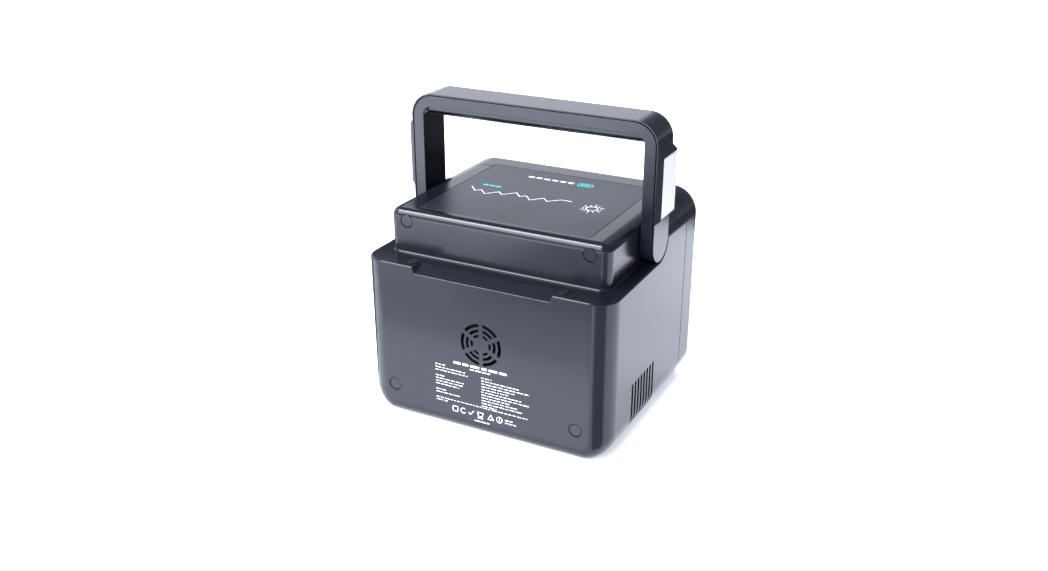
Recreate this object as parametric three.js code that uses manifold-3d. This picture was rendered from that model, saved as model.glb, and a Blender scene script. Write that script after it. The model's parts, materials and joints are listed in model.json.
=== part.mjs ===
// Portable power station: a two-shell plastic case with a folding carrying handle, lamps on both
// handle legs, a fan behind a round grille, and the cells, boards, outlets and buttons inside.
// Millimetres. X is the width, Y is the depth with the rear at +Y, Z is up, the feet stand on Z = 0.

import * as THREE from 'three';
import { ConvexGeometry } from 'three/addons/geometries/ConvexGeometry.js';
import { mergeVertices } from 'three/addons/utils/BufferGeometryUtils.js';
import Module from 'manifold-3d';

const wasm = await Module();
wasm.setup();

// Case
const WIDTH = 190;
const DEPTH = 168;
const FOOT_HEIGHT = 1.5;
const LEDGE_Z = 121.5;
const TOP_Z = 153.5;
const WALL = 2.5;
const GAP = 0.3;
const SIDE_RADIUS = 20;
const REAR_CORNER_RADIUS = 16.2;
const FRONT_CORNER_RADIUS = 9.4;
const REAR_BOTTOM_RADIUS = 10;
const FRONT_EDGE_RADIUS = 8;
const SEAM_Y = -56;
const FRONT_Y = -DEPTH / 2;
const REAR_Y = DEPTH / 2;

// Raised box in the middle of the top, and the channel around it that the folded handle lies in
const RAISED_HALF_WIDTH = 84.3;
const RAISED_REAR_Y = 62.6;
const RAISED_RADIUS = 6;
const PIVOT_Y = -1.8;
const RECESS_RADIUS = 15.25;
const PIVOT_Z = LEDGE_Z + RECESS_RADIUS;

// Finger notch below the folded handle's grip
const NOTCH_HALF_WIDTH = 53.9;
const NOTCH_TAPER = 2;
const NOTCH_INSET = 9;
const NOTCH_DROP = 5.2;
const NOTCH_PAD_HALF_WIDTH = 58;
const NOTCH_PAD_FRONT_Y = 70;
const NOTCH_PAD_DEPTH = 10;

// Fan grille in the rear wall: rings of slots cut by spokes
const GRILLE_Z = 73.6;
const GRILLE_RINGS = [[15.8, 13.4], [11.7, 9.6], [7.9, 6.1]];
const GRILLE_SPOKES = 6;
const SPOKE_WIDTH = 3;

// Side vents
const VENT_COUNT = 8;
const VENT_PITCH = 5.5;
const VENT_WIDTH = 2.6;
const VENT_FIRST_Y = 1.1;
const VENT_BOTTOM_Z = 8;
const VENT_TOP_Z = 45.6;
const VENT_INNER_X = 84;
const VENT_OUTER_X = 97;

// Covered screws: two low in the rear wall, two in the raised box's rear wall
const LOW_SCREW = { x: 72.1, z: 26.1, wallY: REAR_Y };
const HIGH_SCREW = { x: 70.4, z: 145.25, wallY: RAISED_REAR_Y };
const PLUG_RADIUS = 4.7;
const PLUG_DEPTH = 1.9;
const WELL_RADIUS = 4.3;
const BOSS_RADIUS = 6;
const FRONT_BOSS_RADIUS = 5;
const SCREW_RADIUS = 2;
const SCREW_HEAD_RADIUS = 3.7;
const SCREW_HEAD_HEIGHT = 3;
const SCREW_REACH = 24;
const BOSS_FLOOR = 4.85;
const BOSS_FRONT_Y = -78.5;
const RIB_HALF_THICKNESS = 1.2;
const HANGER_HALF_WIDTH = 4;
const SHELL_BOND_X = 93;
const PILOT_DEPTH = 17;
const DRIVE_HALF_LENGTH = 2;
const DRIVE_HALF_WIDTH = 0.4;
const DRIVE_DEPTH = 1.5;

// Top panel, handle bumpers and feet
const PANEL_HALF_WIDTH = 66.2;
const PANEL_FRONT_Y = -60.3;
const PANEL_REAR_Y = 53.2;
const PANEL_THICKNESS = 1.2;
const PANEL_CORNER = 2.7;
const BUMPER_X = 57.8;
const BUMPER_Y = 75;
const BUMPER_RADIUS = 4;
const BUMPER_BURIED = 0.5;
const BUMPER_HEIGHT = 0.7;
const FOOT_X = 68;
const FOOT_REAR_Y = 62;
const FOOT_FRONT_Y = -67;
const FOOT_RADIUS = 7;
const FOOT_BURIED = 1.2;

// Handle, measured from its pivot
const LEG_OUTER_X = 95;
const LEG_INNER_X = 85.3;
const HANDLE_RADIUS = 14.25;
const HANDLE_TOP = 87.15;
const HANDLE_OUTER_CORNER = 17;
const HANDLE_INNER_CORNER = 6.5;
const GRIP_REAR_HEIGHT = 9.6;
const GRIP_FRONT_HEIGHT = 20.5;
const COVER_LIP = 0.9;
const COVER_THICKNESS = 3;
const COVER_END_Z = 4;
const LAMP_FACE_X = 98.5;
const LAMP_BOTTOM = 19.25;
const LAMP_TOP = 63.45;
const LAMP_SLOPE = 3.5;
const LAMP_REAR_Y = 11.8;
const LENS_REAR_Y = 11;
const LENS_THICKNESS = 2.1;
const LENS_END_GAP = 0.9;
const LAMP_CAVITY_X = 94.3;
const LAMP_CAVITY_FRONT_Y = -11;
const LAMP_CAVITY_REAR_Y = 8;
const LAMP_CAVITY_END = 5;
const DIODE_COUNT = 5;
const DIODE_PITCH = 6.6;
const DIODE_HALF_HEIGHT = 1.4;
const PIN_RADIUS = 4;
const PIN_END_X = 91;
const PIN_HEAD_X = 79;
const PIN_HEAD_RADIUS = 6.5;
const PIN_HEAD_THICKNESS = 2.5;

// Front panel and what is set in it
const FRONT_PANEL_HALF_WIDTH = 79.7;
const FRONT_PANEL_BOTTOM = 14.3;
const FRONT_PANEL_TOP = 140.7;
const FRONT_PANEL_CORNER = 12;
const FRONT_PANEL_FACE_Y = -82.5;
const FRONT_PANEL_BACK_Y = -79.2;
const FLANGE_FACE_Y = -81.2;
const FLANGE_WIDTH = 3;
const FLANGE_HALF_WIDTH = 83;
const POST_X = 68;
const POST_LOW_Z = 80;
const POST_HIGH_Z = 130;
const POST_RADIUS = 2.5;
const DISPLAY_Z = 122;
const DISPLAY_HALF_WIDTH = 37.7;
const DISPLAY_HALF_HEIGHT = 9.7;
const DISPLAY_THICKNESS = 2;
const MODULE_HALF_WIDTH = 36.5;
const MODULE_HALF_HEIGHT = 9;
const PORT_Z = 92;
const OUTLET_Z = 50;
const BUTTON_RADIUS = 5.7;
const BUTTON_FACE_Y = -83.6;
const COLLAR_WIDTH = 1.5;
const COLLAR_THICKNESS = 1.3;
const BUTTONS = {
  power_button: [-60, 122],
  lamp_button: [60, 122],
  dc_button: [-60, 100],
  ac_button: [60, 100],
};
const AC_OUTLETS = { ac_outlet_left: -50, ac_outlet_right: -8 };
const OUTLET_HALF_WIDTH = 16.7;
const OUTLET_CORNER = 4.7;
const OUTLET_BACK_Y = -58;
const BLADE_SLOT_X = 6.4;
const BLADE_SLOT_HALF_WIDTH = 1.1;
const BLADE_SLOT_HEIGHT = 8;
const EARTH_HOLE_Z = -7;
const EARTH_HOLE_RADIUS = 2.6;
const OUTLET_HOLE_DEPTH = 14;
const CAR_SOCKET_X = 42;
const CAR_SOCKET_BORE = 10.6;
const CAR_SOCKET_BARREL = 13;
const CAR_SOCKET_FLANGE = 15.5;
const CAR_SOCKET_LENGTH = 40;
const CAR_SOCKET_FLOOR = 3;
const USB_A_PORTS = { usb_a_port_1: -40, usb_a_port_2: -22 };
const USB_A_HALF_WIDTH = 7.25;
const USB_A_HALF_HEIGHT = 3.6;
const USB_C_X = -6;
const USB_C_HALF_WIDTH = 5;
const USB_C_HALF_HEIGHT = 2.1;
const DC_JACKS = { dc_jack_1: 10, dc_jack_2: 26 };
const DC_JACK_RADIUS = 5.2;
const CHARGE_JACK_X = 44;
const CHARGE_JACK_RADIUS = 6.5;
const CONTROL_BOARD_Y = -72;
const BOARD_THICKNESS = 1.6;
const CHIP_XS = [-48, -14, 22, 54];
const SWITCH_FRONT_Y = -76.4;

// Battery, power boards and fan
const CELL_RADIUS = 15.9;
const CELL_LENGTH = 70;
const CELL_PITCH = 32.2;
const CELL_COLUMNS = 4;
const CELL_ROWS = 2;
const PACK_Y = -2;
const CELL_Z = 6.6;
const HOLDER_HALF_WIDTH = 65.6;
const HOLDER_HALF_DEPTH = 33.4;
const HOLDER_HEIGHT = 6;
const HOLDER_FLOOR = 2;
const BATTERY_BOARD_Z = 79.3;
const TRANSISTOR_XS = [-44, -30, -16, -2];
const INVERTER_Z = 96;
const INVERTER_TOP = INVERTER_Z + BOARD_THICKNESS;
const INVERTER_HALF_WIDTH = 88;
const INVERTER_FRONT_Y = -46;
const INVERTER_REAR_Y = 50;
const RAIL_INNER_X = 80;
const RAIL_HEIGHT = 4;
const CAPACITOR_XS = [14, 33, 52];
const CHOKE_XS = [-66, 66];
const PART_EMBED = 0.5;
const HEAT_SINK_Y = 34;
const HEAT_SINK_HALF_LENGTH = 14;
const TRANSFORMER_X = -36;
const TRANSFORMER_Y = -18;
const FAN_HALF = 18;
const FAN_BORE = 16.6;
const FAN_REAR_Y = REAR_Y - WALL - GAP;
const FAN_DEPTH = 10;
const FAN_BLADES = 7;
const FAN_HUB_RADIUS = 7;
const FAN_STRUT_THICKNESS = 1.8;
const FAN_SHAFT_RADIUS = 1;
const FAN_SHAFT_BORE = 1.4;
const FAN_PEG_RADIUS = 1.2;
const FAN_PEG_HOLE = 1.6;
const FAN_PEG_LENGTH = 8;
const FAN_PEG_INSET = 2.6;
const BLADE_LENGTH = 10;
const BLADE_WIDTH = 6.6;
const BLADE_CENTRE = 10.9;
const BLADE_TWIST = 0.62;

// Turns a closed geometry into a solid that can be joined and cut.
function solid(geometry) {
  const bare = geometry.clone();
  bare.deleteAttribute('normal');
  bare.deleteAttribute('uv');
  const merged = mergeVertices(bare, 1e-4);
  return new wasm.Manifold(new wasm.Mesh({
    numProp: 3,
    vertProperties: merged.attributes.position.array,
    triVerts: new Uint32Array(merged.index.array),
  }));
}

// Turns a solid back into a geometry.
function geometryOf(manifold) {
  const mesh = manifold.getMesh();
  const geometry = new THREE.BufferGeometry();
  geometry.setAttribute('position', new THREE.BufferAttribute(mesh.vertProperties, 3));
  geometry.setIndex(new THREE.BufferAttribute(mesh.triVerts, 1));
  geometry.computeVertexNormals();
  return geometry;
}

// A box between two corners, in any order of each pair.
function box(x0, x1, y0, y1, z0, z1) {
  const geometry = new THREE.BoxGeometry(Math.abs(x1 - x0), Math.abs(y1 - y0), Math.abs(z1 - z0));
  geometry.translate((x0 + x1) / 2, (y0 + y1) / 2, (z0 + z1) / 2);
  return solid(geometry);
}

function rodY(x, z, radius, y0, y1, sides = 16) {
  const geometry = new THREE.CylinderGeometry(radius, radius, y1 - y0, sides);
  geometry.translate(x, (y0 + y1) / 2, z);
  return solid(geometry);
}

function rodX(y, z, radius, x0, x1, sides = 16) {
  const geometry = new THREE.CylinderGeometry(radius, radius, Math.abs(x1 - x0), sides);
  geometry.rotateZ(Math.PI / 2);
  geometry.translate((x0 + x1) / 2, y, z);
  return solid(geometry);
}

function rodZ(x, y, radius, z0, z1, sides = 16) {
  const geometry = new THREE.CylinderGeometry(radius, radius, z1 - z0, sides);
  geometry.rotateX(Math.PI / 2);
  geometry.translate(x, y, (z0 + z1) / 2);
  return solid(geometry);
}

// A rectangle with its own radius at each corner: low left, low right, high right, high left.
function roundedRect(x0, y0, x1, y1, radii) {
  const [lowLeft, lowRight, highRight, highLeft] = radii;
  const shape = new THREE.Shape();
  shape.moveTo(x0 + lowLeft, y0);
  shape.lineTo(x1 - lowRight, y0);
  if (lowRight > 0) shape.absarc(x1 - lowRight, y0 + lowRight, lowRight, -Math.PI / 2, 0);
  shape.lineTo(x1, y1 - highRight);
  if (highRight > 0) shape.absarc(x1 - highRight, y1 - highRight, highRight, 0, Math.PI / 2);
  shape.lineTo(x0 + highLeft, y1);
  if (highLeft > 0) shape.absarc(x0 + highLeft, y1 - highLeft, highLeft, Math.PI / 2, Math.PI);
  shape.lineTo(x0, y0 + lowLeft);
  if (lowLeft > 0) shape.absarc(x0 + lowLeft, y0 + lowLeft, lowLeft, Math.PI, Math.PI * 1.5);
  return shape;
}

function evenRect(x0, y0, x1, y1, radius) {
  return roundedRect(x0, y0, x1, y1, [radius, radius, radius, radius]);
}

function extrude(shape, depth, segments) {
  return new THREE.ExtrudeGeometry(shape, { depth, bevelEnabled: false, curveSegments: segments });
}

// Plan outline (X, Y) carried from z0 up to z1.
function alongZ(shape, z0, z1, segments = 4) {
  const geometry = extrude(shape, z1 - z0, segments);
  geometry.translate(0, 0, z0);
  return solid(geometry);
}

// Front outline (X, Z) carried from y0 back to y1.
function alongY(shape, y0, y1, segments = 4) {
  const geometry = extrude(shape, y1 - y0, segments);
  geometry.rotateX(Math.PI / 2);
  geometry.translate(0, y1, 0);
  return solid(geometry);
}

// Side outline (Y, Z) carried from x0 across to x1.
function alongX(shape, x0, x1, segments = 4) {
  const geometry = extrude(shape, x1 - x0, segments);
  const yAxis = new THREE.Vector3(0, 1, 0);
  const zAxis = new THREE.Vector3(0, 0, 1);
  const xAxis = new THREE.Vector3(1, 0, 0);
  geometry.applyMatrix4(new THREE.Matrix4().makeBasis(yAxis, zAxis, xAxis));
  geometry.translate(x0, 0, 0);
  return solid(geometry);
}

function joined(solids) {
  return solids.reduce((sum, next) => sum.add(next));
}

function cutBy(base, cutters) {
  return cutters.reduce((rest, cutter) => rest.subtract(cutter), base);
}

// Everything above the ledge and behind the channel's rounded front end.
function channelRegion(inset, fine) {
  const radius = RECESS_RADIUS + inset;
  const shape = new THREE.Shape();
  shape.moveTo(REAR_Y + 20, LEDGE_Z - inset);
  shape.lineTo(REAR_Y + 20, TOP_Z + 20);
  shape.lineTo(PIVOT_Y - radius, TOP_Z + 20);
  shape.lineTo(PIVOT_Y - radius, PIVOT_Z);
  shape.absarc(PIVOT_Y, PIVOT_Z, radius, Math.PI, Math.PI * 1.5);
  return alongX(shape, -WIDTH, WIDTH, fine ? 7 : 3);
}

// The case's outer form, or its hollow, with coarser rounds, when inset by the wall thickness.
function caseForm(inset) {
  const fine = inset === 0;
  const half = WIDTH / 2 - inset;
  const front = FRONT_Y + inset;
  const rear = REAR_Y - inset;
  const bottom = FOOT_HEIGHT + inset;
  const top = TOP_Z - inset;
  const frontRadius = FRONT_CORNER_RADIUS - inset;
  const rearRadius = REAR_CORNER_RADIUS - inset;
  const edge = FRONT_EDGE_RADIUS - inset;
  const frontView = alongY(evenRect(-half, bottom, half, top, SIDE_RADIUS - inset), front, rear, fine ? 5 : 3);
  const plan = roundedRect(-half, front, half, rear, [frontRadius, frontRadius, rearRadius, rearRadius]);
  const side = roundedRect(front, bottom, rear, top, [edge, REAR_BOTTOM_RADIUS - inset, 0, edge]);
  const full = frontView
    .intersect(alongZ(plan, 0, TOP_Z, fine ? 4 : 2))
    .intersect(alongX(side, -WIDTH, WIDTH, fine ? 3 : 1));
  return full.subtract(channelRegion(inset, fine)).add(raisedBox(inset, fine).intersect(full));
}

function raisedBox(inset, fine) {
  const segments = fine ? 3 : 1;
  const half = RAISED_HALF_WIDTH - inset;
  const rear = RAISED_REAR_Y - inset;
  const top = TOP_Z - inset;
  const round = RAISED_RADIUS - inset;
  const plan = roundedRect(-half, FRONT_Y, half, rear, [0, 0, round, round]);
  const frontView = roundedRect(-half, 0, half, top, [0, 0, round, round]);
  const side = roundedRect(FRONT_Y, 0, rear, top, [0, 0, round, 0]);
  return alongZ(plan, 0, TOP_Z, segments)
    .intersect(alongY(frontView, FRONT_Y, REAR_Y, segments))
    .intersect(alongX(side, -WIDTH, WIDTH, segments));
}

// A wedge that opens the ledge's outer edge for the fingers that lift the folded handle.
function fingerNotch() {
  const corners = [];
  for (const side of [-1, 1]) {
    const innerX = side * (NOTCH_HALF_WIDTH - NOTCH_TAPER - 1);
    const lowX = side * (NOTCH_HALF_WIDTH - NOTCH_TAPER);
    const innerY = REAR_Y - NOTCH_INSET;
    corners.push(new THREE.Vector3(innerX, innerY, LEDGE_Z));
    corners.push(new THREE.Vector3(innerX, innerY, LEDGE_Z + 2));
    corners.push(new THREE.Vector3(side * NOTCH_HALF_WIDTH, REAR_Y + 2, LEDGE_Z + 2));
    corners.push(new THREE.Vector3(side * NOTCH_HALF_WIDTH, REAR_Y, LEDGE_Z));
    corners.push(new THREE.Vector3(lowX, REAR_Y, LEDGE_Z - NOTCH_DROP));
    corners.push(new THREE.Vector3(lowX, REAR_Y + 2, LEDGE_Z - NOTCH_DROP));
  }
  return solid(new ConvexGeometry(corners));
}

// Rings of slots left between the grille's spokes.
function grilleSlots() {
  const rings = GRILLE_RINGS.map(([outer, inner]) => {
    const disc = rodY(0, GRILLE_Z, outer, REAR_Y - WALL - 1, REAR_Y + 1, 24);
    return disc.subtract(rodY(0, GRILLE_Z, inner, REAR_Y - WALL - 2, REAR_Y + 2, 24));
  });
  const spokes = [];
  for (let i = 0; i < GRILLE_SPOKES / 2; i += 1) {
    const bar = new THREE.BoxGeometry(SPOKE_WIDTH, 10, 40);
    bar.rotateY((i * 2 * Math.PI) / GRILLE_SPOKES);
    bar.translate(0, REAR_Y, GRILLE_Z);
    spokes.push(solid(bar));
  }
  return cutBy(joined(rings), spokes);
}

function ventSlots() {
  const slots = [];
  for (const side of [-1, 1]) {
    for (let i = 0; i < VENT_COUNT; i += 1) {
      const y = VENT_FIRST_Y + i * VENT_PITCH;
      const half = VENT_WIDTH / 2;
      slots.push(box(side * VENT_INNER_X, side * VENT_OUTER_X, y - half, y + half, VENT_BOTTOM_Z, VENT_TOP_Z));
    }
  }
  return joined(slots);
}

// The shallow pocket that the top panel lies in.
function topPanelPocket() {
  const half = PANEL_HALF_WIDTH + GAP;
  const outline = evenRect(-half, PANEL_FRONT_Y - GAP, half, PANEL_REAR_Y + GAP, PANEL_CORNER + GAP);
  return alongZ(outline, TOP_Z - PANEL_THICKNESS - GAP, TOP_Z + 1, 3);
}

function screwPlaces() {
  const places = [];
  for (const side of [-1, 1]) {
    for (const screw of [LOW_SCREW, HIGH_SCREW]) {
      places.push({ x: side * screw.x, z: screw.z, wallY: screw.wallY });
    }
  }
  return places;
}

function footPlaces(y) {
  return [[-FOOT_X, y], [FOOT_X, y]];
}

function footPocket([x, y]) {
  return rodZ(x, y, FOOT_RADIUS + GAP, FOOT_HEIGHT - 1, FOOT_HEIGHT + 1.5);
}

function rearShell() {
  const hollow = caseForm(WALL);
  const seat = SEAM_Y + GAP / 2;
  const bosses = screwPlaces().map((s) => rodY(s.x, s.z, BOSS_RADIUS, seat, s.wallY - 1, 10));
  const railLow = INVERTER_Z - RAIL_HEIGHT;
  const railHigh = INVERTER_Z - GAP;
  const rails = [-1, 1].map((side) => box(
    side * RAIL_INNER_X, side * SHELL_BOND_X, INVERTER_FRONT_Y, INVERTER_REAR_Y, railLow, railHigh,
  ));
  const padHalf = NOTCH_PAD_HALF_WIDTH;
  const notchPad = box(
    -padHalf, padHalf, NOTCH_PAD_FRONT_Y, REAR_Y - 1, LEDGE_Z - NOTCH_PAD_DEPTH, LEDGE_Z - 1,
  );
  const skin = caseForm(0).subtract(hollow);
  const pegFront = FAN_REAR_Y - FAN_PEG_LENGTH;
  const fanPegs = fanScrewPlaces().map(([x, z]) => rodY(x, z, FAN_PEG_RADIUS, pegFront, REAR_Y - 1, 8));
  const whole = joined([skin, ...bosses, ...rails, notchPad, ...fanPegs]);
  const cutters = [fingerNotch(), grilleSlots(), ventSlots(), topPanelPocket()];
  for (const s of screwPlaces()) {
    cutters.push(rodY(s.x, s.z, PLUG_RADIUS + GAP, s.wallY - PLUG_DEPTH - GAP, s.wallY + 1));
    cutters.push(rodY(s.x, s.z, WELL_RADIUS, seat + BOSS_FLOOR, s.wallY, 10));
    cutters.push(rodY(s.x, s.z, SCREW_RADIUS + GAP, seat - 1, s.wallY - 5, 8));
  }
  for (const side of [-1, 1]) {
    cutters.push(rodX(PIVOT_Y, PIVOT_Z, PIN_RADIUS + GAP, side * (PIN_HEAD_X - 1), side * (LEG_INNER_X + 2.7)));
    cutters.push(rodZ(side * BUMPER_X, BUMPER_Y, BUMPER_RADIUS + GAP, LEDGE_Z - 0.8, LEDGE_Z + 1));
  }
  cutters.push(...footPlaces(FOOT_REAR_Y).map(footPocket));
  const behindSeam = box(-WIDTH, WIDTH, seat, REAR_Y + 1, -1, TOP_Z + 1);
  return cutBy(whole, cutters).intersect(behindSeam);
}

function frontShell() {
  const seat = SEAM_Y - GAP / 2;
  const bosses = [];
  for (const s of screwPlaces()) {
    const outward = Math.sign(s.x);
    bosses.push(rodY(s.x, s.z, FRONT_BOSS_RADIUS, BOSS_FRONT_Y, seat, 10));
    if (s.z < LEDGE_Z) {
      const low = s.z - RIB_HALF_THICKNESS;
      const high = s.z + RIB_HALF_THICKNESS;
      bosses.push(box(s.x, outward * SHELL_BOND_X, BOSS_FRONT_Y, seat, low, high));
    } else {
      const left = s.x - HANGER_HALF_WIDTH;
      const right = s.x + HANGER_HALF_WIDTH;
      bosses.push(box(left, right, BOSS_FRONT_Y, seat, s.z, TOP_Z - 1.6));
    }
  }
  const skin = caseForm(0).subtract(caseForm(WALL));
  const half = FRONT_PANEL_HALF_WIDTH + GAP;
  const low = FRONT_PANEL_BOTTOM - GAP;
  const high = FRONT_PANEL_TOP + GAP;
  const mouth = alongY(evenRect(-half, low, half, high, FRONT_PANEL_CORNER), FRONT_Y - 1, FRONT_Y + 4);
  const cutters = [mouth, topPanelPocket()];
  for (const s of screwPlaces()) {
    cutters.push(rodY(s.x, s.z, SCREW_RADIUS + GAP, seat - PILOT_DEPTH, seat + 1, 8));
  }
  cutters.push(...footPlaces(FOOT_FRONT_Y).map(footPocket));
  const beforeSeam = box(-WIDTH, WIDTH, FRONT_Y - 1, seat, -1, TOP_Z + 1);
  return cutBy(joined([skin, ...bosses]), cutters).intersect(beforeSeam);
}

function topPanel() {
  const outline = evenRect(-PANEL_HALF_WIDTH, PANEL_FRONT_Y, PANEL_HALF_WIDTH, PANEL_REAR_Y, PANEL_CORNER);
  return alongZ(outline, TOP_Z - PANEL_THICKNESS, TOP_Z, 3);
}

// A round cover disc, its outer face at Y = 0.
function screwPlug() {
  return rodY(0, 0, PLUG_RADIUS, -PLUG_DEPTH, -0.1);
}

// A pan-head screw that lies along Y, with the underside of its head at Y = 0.
function caseScrew() {
  const shank = rodY(0, 0, SCREW_RADIUS, -SCREW_REACH + SCREW_HEAD_HEIGHT, 1, 8);
  const head = rodY(0, 0, SCREW_HEAD_RADIUS, 0, SCREW_HEAD_HEIGHT, 14);
  const long = DRIVE_HALF_LENGTH;
  const thin = DRIVE_HALF_WIDTH;
  const floor = SCREW_HEAD_HEIGHT - DRIVE_DEPTH;
  const above = SCREW_HEAD_HEIGHT + 1;
  const across = box(-long, long, floor, above, -thin, thin);
  const upright = box(-thin, thin, floor, above, -long, long);
  return shank.add(head).subtract(across.add(upright));
}

function latheSolid(points, sides) {
  const profile = points.map(([r, h]) => new THREE.Vector2(r, h));
  const geometry = new THREE.LatheGeometry(profile, sides);
  geometry.rotateX(Math.PI / 2);
  return solid(geometry);
}

// A rubber foot with a domed rim, standing on Z = 0.
function foot() {
  const top = FOOT_HEIGHT + FOOT_BURIED;
  return latheSolid([[0, 0], [FOOT_RADIUS - 1, 0], [FOOT_RADIUS, 0.8], [FOOT_RADIUS, top], [0, top]], 16);
}

function handleBumper() {
  const radius = BUMPER_RADIUS;
  const low = -BUMPER_BURIED;
  const high = BUMPER_HEIGHT;
  return latheSolid([[0, low], [radius, low], [radius, high - 0.3], [radius - 0.6, high], [0, high]], 14);
}

// The handle's U outline seen from the front, grown or shrunk by an offset on its outer side.
function handleOutline(offset, lowZ) {
  const outer = LEG_OUTER_X - offset;
  const top = HANDLE_TOP - offset;
  const corner = HANDLE_OUTER_CORNER - offset;
  return roundedRect(-outer, lowZ, outer, top, [0, 0, corner, corner]);
}

function handleWindow(y0, y1) {
  const top = HANDLE_TOP - GRIP_REAR_HEIGHT;
  const corner = HANDLE_INNER_CORNER;
  const outline = roundedRect(-LEG_INNER_X, -40, LEG_INNER_X, top, [0, 0, corner, corner]);
  return alongY(outline, y0, y1, 4);
}

// Side outline of a leg: straight up from a half-round end about the pivot.
function legOutline() {
  const shape = new THREE.Shape();
  shape.moveTo(HANDLE_RADIUS, 0);
  shape.lineTo(HANDLE_RADIUS, HANDLE_TOP + 5);
  shape.lineTo(-HANDLE_RADIUS, HANDLE_TOP + 5);
  shape.lineTo(-HANDLE_RADIUS, 0);
  shape.absarc(0, 0, HANDLE_RADIUS, Math.PI, Math.PI * 2);
  return shape;
}

// The deep part of the grip below the crossbar, with a convex underside.
function gripOutline() {
  const low = HANDLE_TOP - GRIP_FRONT_HEIGHT;
  const rearLow = HANDLE_TOP - GRIP_REAR_HEIGHT;
  const shape = new THREE.Shape();
  shape.moveTo(HANDLE_RADIUS, rearLow);
  shape.lineTo(HANDLE_RADIUS, rearLow + 4);
  shape.lineTo(-HANDLE_RADIUS, rearLow + 4);
  shape.lineTo(-HANDLE_RADIUS, low + 2);
  shape.absarc(-HANDLE_RADIUS + 2, low + 2, 2, Math.PI, Math.PI * 1.5);
  shape.quadraticCurveTo(4, low + 0.5, HANDLE_RADIUS, rearLow);
  return shape;
}

// The raised lamp housing on one leg's outer face, with sloping ends and a sloping rear edge.
function lampHousing(side) {
  const baseX = side * (LEG_OUTER_X - 0.5);
  const faceX = side * LAMP_FACE_X;
  const corners = [];
  for (const [baseY, faceY] of [[-HANDLE_RADIUS, -HANDLE_RADIUS], [LAMP_REAR_Y + 2, LAMP_REAR_Y]]) {
    corners.push(new THREE.Vector3(baseX, baseY, LAMP_BOTTOM - LAMP_SLOPE));
    corners.push(new THREE.Vector3(baseX, baseY, LAMP_TOP + LAMP_SLOPE));
    corners.push(new THREE.Vector3(faceX, faceY, LAMP_BOTTOM));
    corners.push(new THREE.Vector3(faceX, faceY, LAMP_TOP));
  }
  return solid(new ConvexGeometry(corners));
}

function handleFrame() {
  const r = HANDLE_RADIUS;
  const slab = alongY(handleOutline(0, -r - 5), -r, r, 6).subtract(handleWindow(-r - 1, r + 1));
  const bent = slab.intersect(alongX(legOutline(), -WIDTH, WIDTH, 12));
  const grip = alongX(gripOutline(), -LEG_INNER_X - 1, LEG_INNER_X + 1, 6);
  const coverPocket = alongY(handleOutline(COVER_LIP, COVER_END_Z - GAP), r - COVER_THICKNESS - GAP, r + 1, 8);
  const cutters = [coverPocket];
  for (const side of [-1, 1]) {
    const lensX = side * (LAMP_FACE_X - LENS_THICKNESS - GAP);
    cutters.push(rodX(0, 0, PIN_RADIUS + GAP, side * (LEG_INNER_X - 1), side * (PIN_END_X + GAP)));
    const lensLow = LAMP_BOTTOM + LENS_END_GAP - GAP;
    const lensHigh = LAMP_TOP - LENS_END_GAP + GAP;
    cutters.push(box(lensX, side * (LAMP_FACE_X + 1), -r - 1, LENS_REAR_Y + GAP, lensLow, lensHigh));
    const cavityLow = LAMP_BOTTOM + LAMP_CAVITY_END;
    const cavityHigh = LAMP_TOP - LAMP_CAVITY_END;
    const front = LAMP_CAVITY_FRONT_Y;
    const rear = LAMP_CAVITY_REAR_Y;
    cutters.push(box(side * LAMP_CAVITY_X, side * LAMP_FACE_X, front, rear, cavityLow, cavityHigh));
  }
  return cutBy(joined([bent, grip, lampHousing(-1), lampHousing(1)]), cutters);
}

function handleCover() {
  const r = HANDLE_RADIUS;
  const outline = handleOutline(COVER_LIP + GAP, COVER_END_Z);
  return alongY(outline, r - COVER_THICKNESS, r, 8)
    .subtract(handleWindow(r - COVER_THICKNESS - 1, r + 1))
    .intersect(alongX(legOutline(), -WIDTH, WIDTH, 12));
}

// The lamp's diffuser, which reaches round to the handle's front face.
function lampLens(side) {
  const inner = side * (LAMP_FACE_X - LENS_THICKNESS);
  const outer = side * LAMP_FACE_X;
  return box(inner, outer, -HANDLE_RADIUS, LENS_REAR_Y, LAMP_BOTTOM + LENS_END_GAP, LAMP_TOP - LENS_END_GAP);
}

// A strip board with a row of light-emitting diodes.
function lampBoard(side) {
  const backX = side * (LAMP_CAVITY_X + GAP);
  const faceX = side * (LAMP_CAVITY_X + 1.2);
  const front = LAMP_CAVITY_FRONT_Y + GAP;
  const rear = LAMP_CAVITY_REAR_Y - GAP;
  const low = LAMP_BOTTOM + LAMP_CAVITY_END + GAP;
  const high = LAMP_TOP - LAMP_CAVITY_END - GAP;
  const board = box(backX, faceX, front, rear, low, high);
  const diodes = [];
  for (let i = 0; i < DIODE_COUNT; i += 1) {
    const z = low + 3.7 + i * DIODE_PITCH;
    const lit = side * (LAMP_CAVITY_X + 1.7);
    diodes.push(box(side * (LAMP_CAVITY_X + 1), lit, -3, 0.5, z - DIODE_HALF_HEIGHT, z + DIODE_HALF_HEIGHT));
  }
  return joined([board, ...diodes]);
}

// A headed pin from inside the raised box into one leg.
function pivotPin(side) {
  const shank = rodX(0, 0, PIN_RADIUS, side * PIN_HEAD_X, side * PIN_END_X);
  const head = rodX(0, 0, PIN_HEAD_RADIUS, side * PIN_HEAD_X, side * (PIN_HEAD_X + PIN_HEAD_THICKNESS));
  return shank.add(head);
}

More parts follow.
